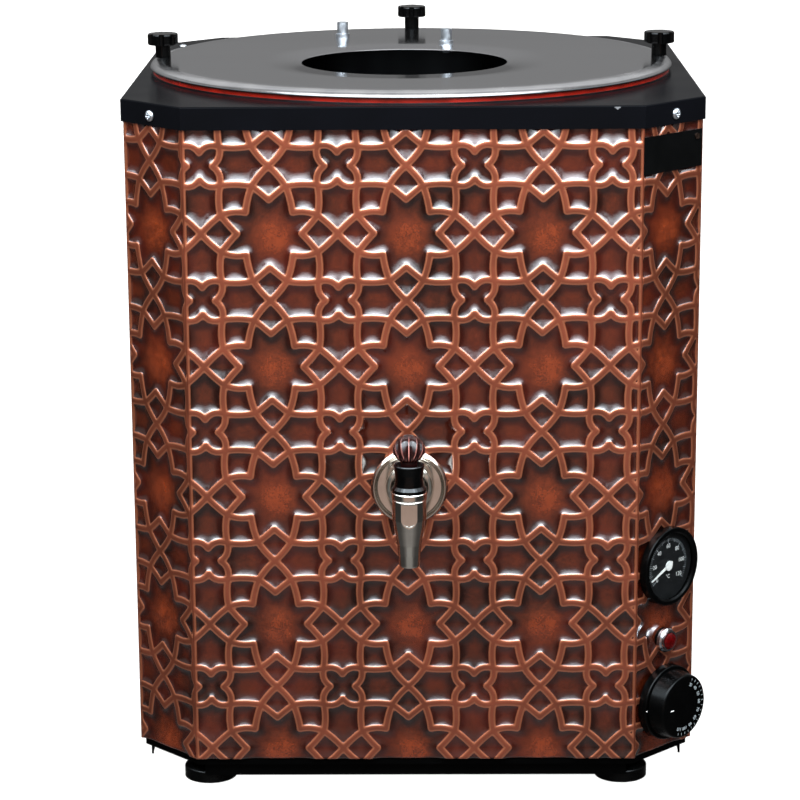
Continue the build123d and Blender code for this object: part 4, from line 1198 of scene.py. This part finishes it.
@dataclass
class LeverTap:
    """The tap: a turned rosette, a spout with a pressed flat, a fluted lever knob and the
    return spring under its bonnet."""

    x: float = -3.5
    level: float = 238.7
    wall: float = -213.4
    reach: float = 45.0
    flat_half_width: float = 5.6
    flat_top: float = 240.8
    flat_length: float = 17.5
    flat_sink: float = 0.35
    flat_edge: float = 0.5
    flat_reach_deg: float = 50.0
    bore_radius: float = 9.1
    spout_step: float = 0.7
    spout_segments: int = 192
    ball_radius: float = 6.0
    ball_level: float = 263.0
    knob_radius: float = 12.0
    knob_level: float = 278.0
    knob_segments: int = 144
    knob_flutes: int = 12
    flute_run: Pair = (271.5, 18.5)
    flute_depth: float = 0.12
    pole_tilt_deg: float = 42.0
    spring_turns: int = 5
    spring_radius: float = 4.2
    spring_wire: float = 0.6
    spring_ends: Pair = (236.6, 250.4)
    web: float = 251.0
    lift: float = 2.5

    @property
    def level_axis(self) -> Place:
        """The barrel's axis, out of the wall."""
        return Place((self.x, self.wall, self.level), (1.0, 0.0, 0.0), (0.0, -1.0, 0.0))

    @property
    def upright(self) -> Place:
        """The spout's and the knob's axis, with the standing surface at zero."""
        return Place((self.x, self.wall - self.reach, 0.0))

    def rosette(self) -> Piece:
        """The wall rosette: a round rim, a shallow dish and a raised inner collar."""
        outline = rounded([(13.1, 0, 0), (28.4, 0, 0.4), (28.7, 2.8, 2.2), (26.4, 6.4, 2.8),
                           (24.0, 3.4, 1.2), (17.2, 2.9, 0.5), (16.6, 4.6, 0.8),
                           (14.4, 5.4, 0.8), (13.1, 5.2, 0.2), (13.1, 3.0, 0)])
        return lathe("turned_rosette", outline, self.level_axis, 128)

    def spout(self) -> Piece:
        """The upright: outlet, tapering spout and collar, hollow above its seat.

        The turned outline's radius R is cut by a flat on the front: where the flat's half
        width w at that level is above zero, the radius is at most
        (sqrt(R^2 - w^2) - sink) / cos a, with a the angle from the front. w is even above and
        closes in a half circle below, and the sink grows over half a millimetre at its edge.
        """
        outline = rounded([
            (5.5, 191.0, 0), (7.3, 191.0, 0.3), (7.7, 192.2, 0.6), (8.2, 200.0, 3),
            (8.9, 208.0, 6), (11.2, 219.5, 8), (12.4, 227.0, 6), (12.4, 241.5, 0.6),
            (11.9, 242.1, 0.3), (12.8, 242.8, 0.4), (13.0, 243.4, 0.5), (13.0, 247.0, 0.4),
            (12.6, 247.5, 0.2), (9.0, 247.5, 0.2), (9.0, 231.0, 0), (5.5, 231.0, 0)], 6)
        fine = [outline[:1]]
        for a, b in zip(outline[:-1], outline[1:]):
            count = max(1, int(np.linalg.norm(b - a) / self.spout_step))
            fine.append(a + (b - a) * np.linspace(0, 1, count + 1)[1:, None])
        line = np.vstack(fine)
        radius, level = line[:, :1], line[:, 1:]
        turn = circle(self.spout_segments)
        from_front = (turn + math.pi / 2 + math.pi) % (2 * math.pi) - math.pi
        low = self.flat_top - self.flat_length + self.flat_half_width
        closing = np.clip((low - level) / self.flat_half_width, 0, 1)
        inside = (level < self.flat_top) & (level > low - self.flat_half_width)
        half = np.where(inside, self.flat_half_width * np.sqrt(1 - closing**2), 0)
        outer = ((radius > self.bore_radius)
                 & (np.arange(len(line))[:, None] < np.argmax(level)))
        near = np.abs(from_front) < math.radians(self.flat_reach_deg)
        across = radius * np.abs(np.sin(from_front))
        sunk = self.flat_sink * np.clip((half - across) / self.flat_edge, 0, 1)
        limit = (np.sqrt(np.clip(radius**2 - half**2, 1, None)) - sunk) / np.cos(
            np.clip(from_front, -1.2, 1.2))
        cut = np.where(outer & near, np.minimum(radius, limit), radius)
        return skin("tapered_spout", turned(cut, level, self.spout_segments), self.upright)

    def barrel(self) -> Piece:
        """The level barrel between the wall and the spout, its neck and its threaded shank."""
        outline = rounded([(6.0, -23.5, 0), (9.8, -23.5, 0.4), (10.0, -22.8, 0.4),
                           (10.0, -3.6, 0), (13.0, -3.6, 0), (13.0, 27.6, 1.4),
                           (11.6, 29.0, 1.2), (8.9, 29.6, 1.0), (8.6, 31.0, 1.0),
                           (8.6, 36.2, 0), (6.0, 36.2, 0)])
        return lathe("tap_barrel", outline, self.level_axis, 96)

    def knob(self) -> Piece:
        """The lever's knob with its neck and its pivot ball, open below round the stem's head.

        The dome's radius is R x (1 - depth x |sin(n a / 2)| x sin(p)^0.7), with p the angle
        from a pole low in front and a the angle round that pole, so sharp ridges fan up and
        back between round flutes. The stored attribute is one along the ridges' near run, where
        it paints a pale highlight.
        """
        neck = rounded([(5.64, 265.2, 0), (6.2, 268.0, 1.0), (6.2, 271.0, 0.8),
                        (8.0, 271.5, 0.6), (9.6, 273.0, 1.0), (11.6, 276.0, 2.0)], 4)[1:]
        line = np.vstack([[[0.0, 260.0], [3.2, 260.0]],
                          arc(self.ball_radius, self.ball_level, -34, 20, 10), neck,
                          arc(self.knob_radius, self.knob_level, -4, 90, 16)])
        reach, level = line[1:-1, :1], line[1:-1, 1:]
        way = turned(reach, level - self.knob_level, self.knob_segments)
        way = way / np.linalg.norm(way, axis=-1, keepdims=True)
        tilt = math.radians(self.pole_tilt_deg)
        pole = np.array([0.0, -math.sin(tilt), -math.cos(tilt)])
        side = np.cross(pole, [1.0, 0.0, 0.0])
        polar = np.arccos(np.clip(way @ pole, -1, 1))
        around = np.arctan2(way @ side, way[..., 0])
        wave = np.abs(np.sin(self.knob_flutes * (around + math.pi / 2) / 2))
        share = part_way(level, *self.flute_run)
        begin, end = np.clip(4 * share, 0, 1), np.clip(4 * (1 - share), 0, 1)
        radius = reach * (1 - self.flute_depth * wave * np.sin(polar) ** 0.7 * begin * end)
        # painted highlight along the ridges' near run
        ridge = np.clip(1 - wave / 0.2, 0, 1) * begin * np.clip(1 - (polar / 2.2) ** 3, 0, 1)
        piece = skin("fluted_lever_knob", turned(radius, level, self.knob_segments),
                     self.upright, [(0.0, 0.0, z) for z in line[[0, -1], 1]])
        set_values(piece, ridge=ridge)
        return piece

    def spring(self) -> Piece:
        """The return spring, from the cup up to the bonnet's web.

        Its line is (r cos a, r sin a, z0 + h a / (2 pi n)); round each of its points stands a
        ring w (cos b N + sin b B), with N the outward way and B square to it and the line.
        """
        a = np.linspace(0, 2 * math.pi * self.spring_turns, 24 * self.spring_turns + 1)[:, None]
        low, high = self.spring_ends
        climb = (high - low) / a[-1, 0]
        out = np.hstack([np.cos(a), np.sin(a), 0 * a])
        line = self.spring_radius * out + np.hstack([0 * a, 0 * a, low + climb * a])
        run = np.hstack([-np.sin(a), np.cos(a), 0 * a + climb / self.spring_radius])
        square = np.cross(run / np.linalg.norm(run, axis=1, keepdims=True), out)
        b = circle(10)[:, None]
        rings = line[:, None] + self.spring_wire * (
            np.cos(b) * out[:, None] + np.sin(b) * square[:, None])
        return skin("return_spring", rings, self.upright, flat=True)

    def build(self) -> None:
        """Builds the tap's pieces in place of the plain ones; the spring gets a mesh of its own.
        """
        for piece, node in ((self.rosette(), "tap_rosette"), (self.spout(), "tap_body"),
                            (self.barrel(), "tap_body")):
            stand_for(piece, Surface.CHROME, "base", "chrome", node)
        stand_for(self.knob(), Surface.SMOKED_ACRYLIC, "tap_lever", "black_gloss", "tap_handle")
        spring = stand_for(self.spring(), Surface.SPRING_STEEL, "base", "spring_steel",
                           "tap_spring")
        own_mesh(spring)


# ---------------------------------------------------------------- instruments


def corner_place(height: float, lift: float = 0.0) -> Place:
    """The middle line of the right front corner face at a level, facing out with y up."""
    reach = CORNER_MIDDLE + lift * DIAGONAL
    return Place((reach, -reach, height), (DIAGONAL, DIAGONAL, 0.0), (DIAGONAL, -DIAGONAL, 0.0))


@dataclass
class Thermometer:
    """The round gauge: a thick glossy bezel, a printed scale in degrees and its numbers."""

    level: float = 169.5
    dial_top: float = 2.0
    print_depth: float = 0.06
    zero_deg: float = 216.0
    step_deg: float = 42.0
    top_value: int = 120
    tick_inner: float = 19.2
    tick_outer: float = 21.2
    number_radius: float = 15.4
    number_size: float = 4.6
    unit_drop: float = 8.6
    unit_size: float = 4.4

    def angle(self, value: Array) -> Array:
        """Where values stand on the scale, in radians: a step for every twenty degrees."""
        return np.radians(self.zero_deg - value / 20 * self.step_deg)

    def scale(self) -> Piece:
        """A tick every two degrees, longer and bolder every ten and every twenty."""
        values = np.arange(0, self.top_value + 1, 2)
        tens, twenties = values % 10 == 0, values % 20 == 0
        inner = self.tick_inner - 0.9 * tens - 0.8 * twenties
        width = 0.22 + 0.2 * tens + 0.2 * twenties
        return strokes("gauge_scale", corner_place(self.level), self.angle(values), inner,
                       self.tick_outer, width, self.dial_top, self.print_depth)

    def build(self) -> None:
        """Builds the bezel in place of the plain one, the print and the needle's round boss."""
        middle, face = corner_place(self.level), corner_place(self.level, self.dial_top)
        bezel = rounded([(25.5, 4.02, 0), (30.2, 4.02, 0.2), (30.2, 6.5, 1.8),
                         (26.9, 6.5, 0.5), (25.5, 5.4, 0.2), (25.5, 4.6, 0)], 7)
        stand_for(lathe("gauge_bezel", bezel, middle, 160), Surface.SATIN_BLACK, "base",
                  "black_satin", "thermometer_bezel")
        stand_for(self.scale(), Surface.PRINT_GREY, "base", "dial_face")
        for value in range(0, self.top_value + 1, 20):
            at = face.spot(self.number_radius, self.angle(value))
            number = lettering(f"gauge_number_{value}", str(value), self.number_size, at,
                               self.print_depth)
            stand_for(number, Surface.PRINT_WHITE, "base", "dial_face")
        boss = rounded([(0.0, 2.75, 0), (3.8, 2.75, 0.1), (3.8, 3.55, 0.3), (0.0, 3.7, 0)], 4)
        stand_for(lathe("needle_boss", boss, middle, 48), Surface.POINTER_WHITE,
                  "thermometer_needle", "white_pointer")
        unit = lettering("gauge_unit", "\u00b0C", self.unit_size,
                         face.spot(self.unit_drop, -math.pi / 2), self.print_depth)
        stand_for(unit, Surface.PRINT_WHITE, "base", "dial_face")


@dataclass
class PilotLamp:
    """The lamp's cut lens: flat facets round a low point."""

    level: float = 110.3
    facets: int = 10

    def build(self) -> None:
        """Builds the lens in place of the plain one."""
        outline = np.array([(0.0, 3.0), (6.4, 3.0), (6.4, 5.6), (5.7, 6.9), (3.4, 7.8),
                            (1.5, 8.15), (0.0, 8.2)])
        lens = lathe("cut_lens", outline, corner_place(self.level), self.facets)
        lens.data.polygons.foreach_set("use_smooth", np.zeros(len(lens.data.polygons), bool))
        stand_for(lens, Surface.RED_LENS, "base", "red_lens", "pilot_lamp_lens")


@dataclass
class ThermostatPrint:
    """The print on the thermostat's turning face, and the mark on its fixed ring."""

    level: float = 61.2
    face: float = 20.5
    ring: float = 7.0
    depth: float = 0.07
    first_deg: float = 66.0
    last_deg: float = -108.0
    first_value: int = 30
    last_value: int = 110
    number_radius: float = 17.4
    number_size: float = 3.6

    def build(self) -> None:
        """Prints the numbers and ticks down the right half and a dash on the left."""
        values = np.arange(self.first_value, self.last_value + 1, 10)
        angles, ticks = (np.radians(np.linspace(self.first_deg, self.last_deg, count))
                         for count in (len(values), 2 * len(values) - 1))
        left = np.array([math.pi])
        for name, turns, inner, outer, width, base, surface, body in (
                ("ticks", ticks, 20.6, 22.4, 0.3, self.face, Surface.PRINT_GREY,
                 "thermostat_dial"),
                ("dash", left, 12.0, 15.5, 0.7, self.face, Surface.PRINT_WHITE,
                 "thermostat_dial"),
                ("index", left, 27.1, 28.4, 0.7, self.ring, Surface.PRINT_WHITE, "base")):
            piece = strokes("thermostat_" + name, corner_place(self.level), turns, inner,
                            outer, width, base, self.depth)
            stand_for(piece, surface, body, "white_pointer")
        face = corner_place(self.level, self.face)
        for value, turn in zip(values, angles):
            number = lettering(f"thermostat_number_{value}", str(value), self.number_size,
                               face.spot(self.number_radius, turn), self.depth,
                               turn - math.pi / 2)
            stand_for(number, Surface.PRINT_GREY, "thermostat_dial", "white_pointer")


# ---------------------------------------------------------------- the whole


def dress_carried_nodes(nodes: dict[str, Piece]) -> None:
    """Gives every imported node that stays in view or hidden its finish."""
    table = {
        Surface.BLACK_ENAMEL: "top_tray",
        Surface.DIP_ENAMEL: "base_tray skirt_ring",
        Surface.SATIN_STEEL: "lid",
        Surface.TANK_STEEL: "tank heater_flange tap_stem tap_handle_pin thermostat_shaft",
        Surface.ZINC: "tray_screws knob_weld_nuts lid_studs lid_stud_nuts foot_screws foot_nuts "
                      "heater_nuts left_knob_stud right_knob_stud rear_knob_stud",
        Surface.DARK_RIVET: "panel_rivets",
        Surface.PLATE_BLACK: "label_plate",
        Surface.GLASS_WOOL: "insulation_jacket",
        Surface.RED_SILICONE: "lid_gasket heater_seal",
        Surface.WHITE_SILICONE: "tap_seal tap_seat_cup",
        Surface.CHROME: "tap_rosette tap_body",
        Surface.GLOSS_BLACK: "tap_bonnet tap_handle left_lid_knob right_lid_knob rear_lid_knob",
        Surface.SPRING_STEEL: "tap_spring",
        Surface.SATIN_BLACK: "left_knob_washer right_knob_washer rear_knob_washer "
                             "thermometer_case thermometer_bezel pilot_lamp_body "
                             "thermostat_ring thermostat_knob cable_gland",
        Surface.DIAL_BLACK: "thermometer_dial",
        Surface.CLEAR_GLASS: "thermometer_glass",
        Surface.POINTER_WHITE: "thermometer_pointer",
        Surface.COPPER_TUBE: "thermometer_sensor thermostat_sensor",
        Surface.CHROMED_PLASTIC: "pilot_lamp_bezel",
        Surface.RED_LENS: "pilot_lamp_lens",
        Surface.CASE_STEEL: "thermostat_body",
        Surface.SHEATH: "heater_element",
        Surface.CERAMIC: "heat_cutout terminal_block",
        Surface.SLEEVE: "internal_wiring",
        Surface.FOOT_BLACK: "front_left_foot front_right_foot rear_left_foot rear_right_foot",
        Surface.COPPER: "body_panel",
    }
    finishes = {name: surface for surface, names in table.items() for name in names.split()}
    for name, node in nodes.items():
        if name not in finishes:
            log.warning("no finish for %s", name)
        dress(node, finishes.get(name, Surface.ZINC))


def main() -> None:
    """Builds the studio and every piece."""
    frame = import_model()
    studio = Studio()
    studio.build()
    dress_carried_nodes(frame["nodes"])
    for part in (EmbossedCasing(), RearSeam(), RolledLid(), CrossScrews(), BandChip(),
                 LeverTap(), Thermometer(), PilotLamp(), ThermostatPrint()):
        part.build()
    studio.share_light()


if __name__ == "__main__":
    main()
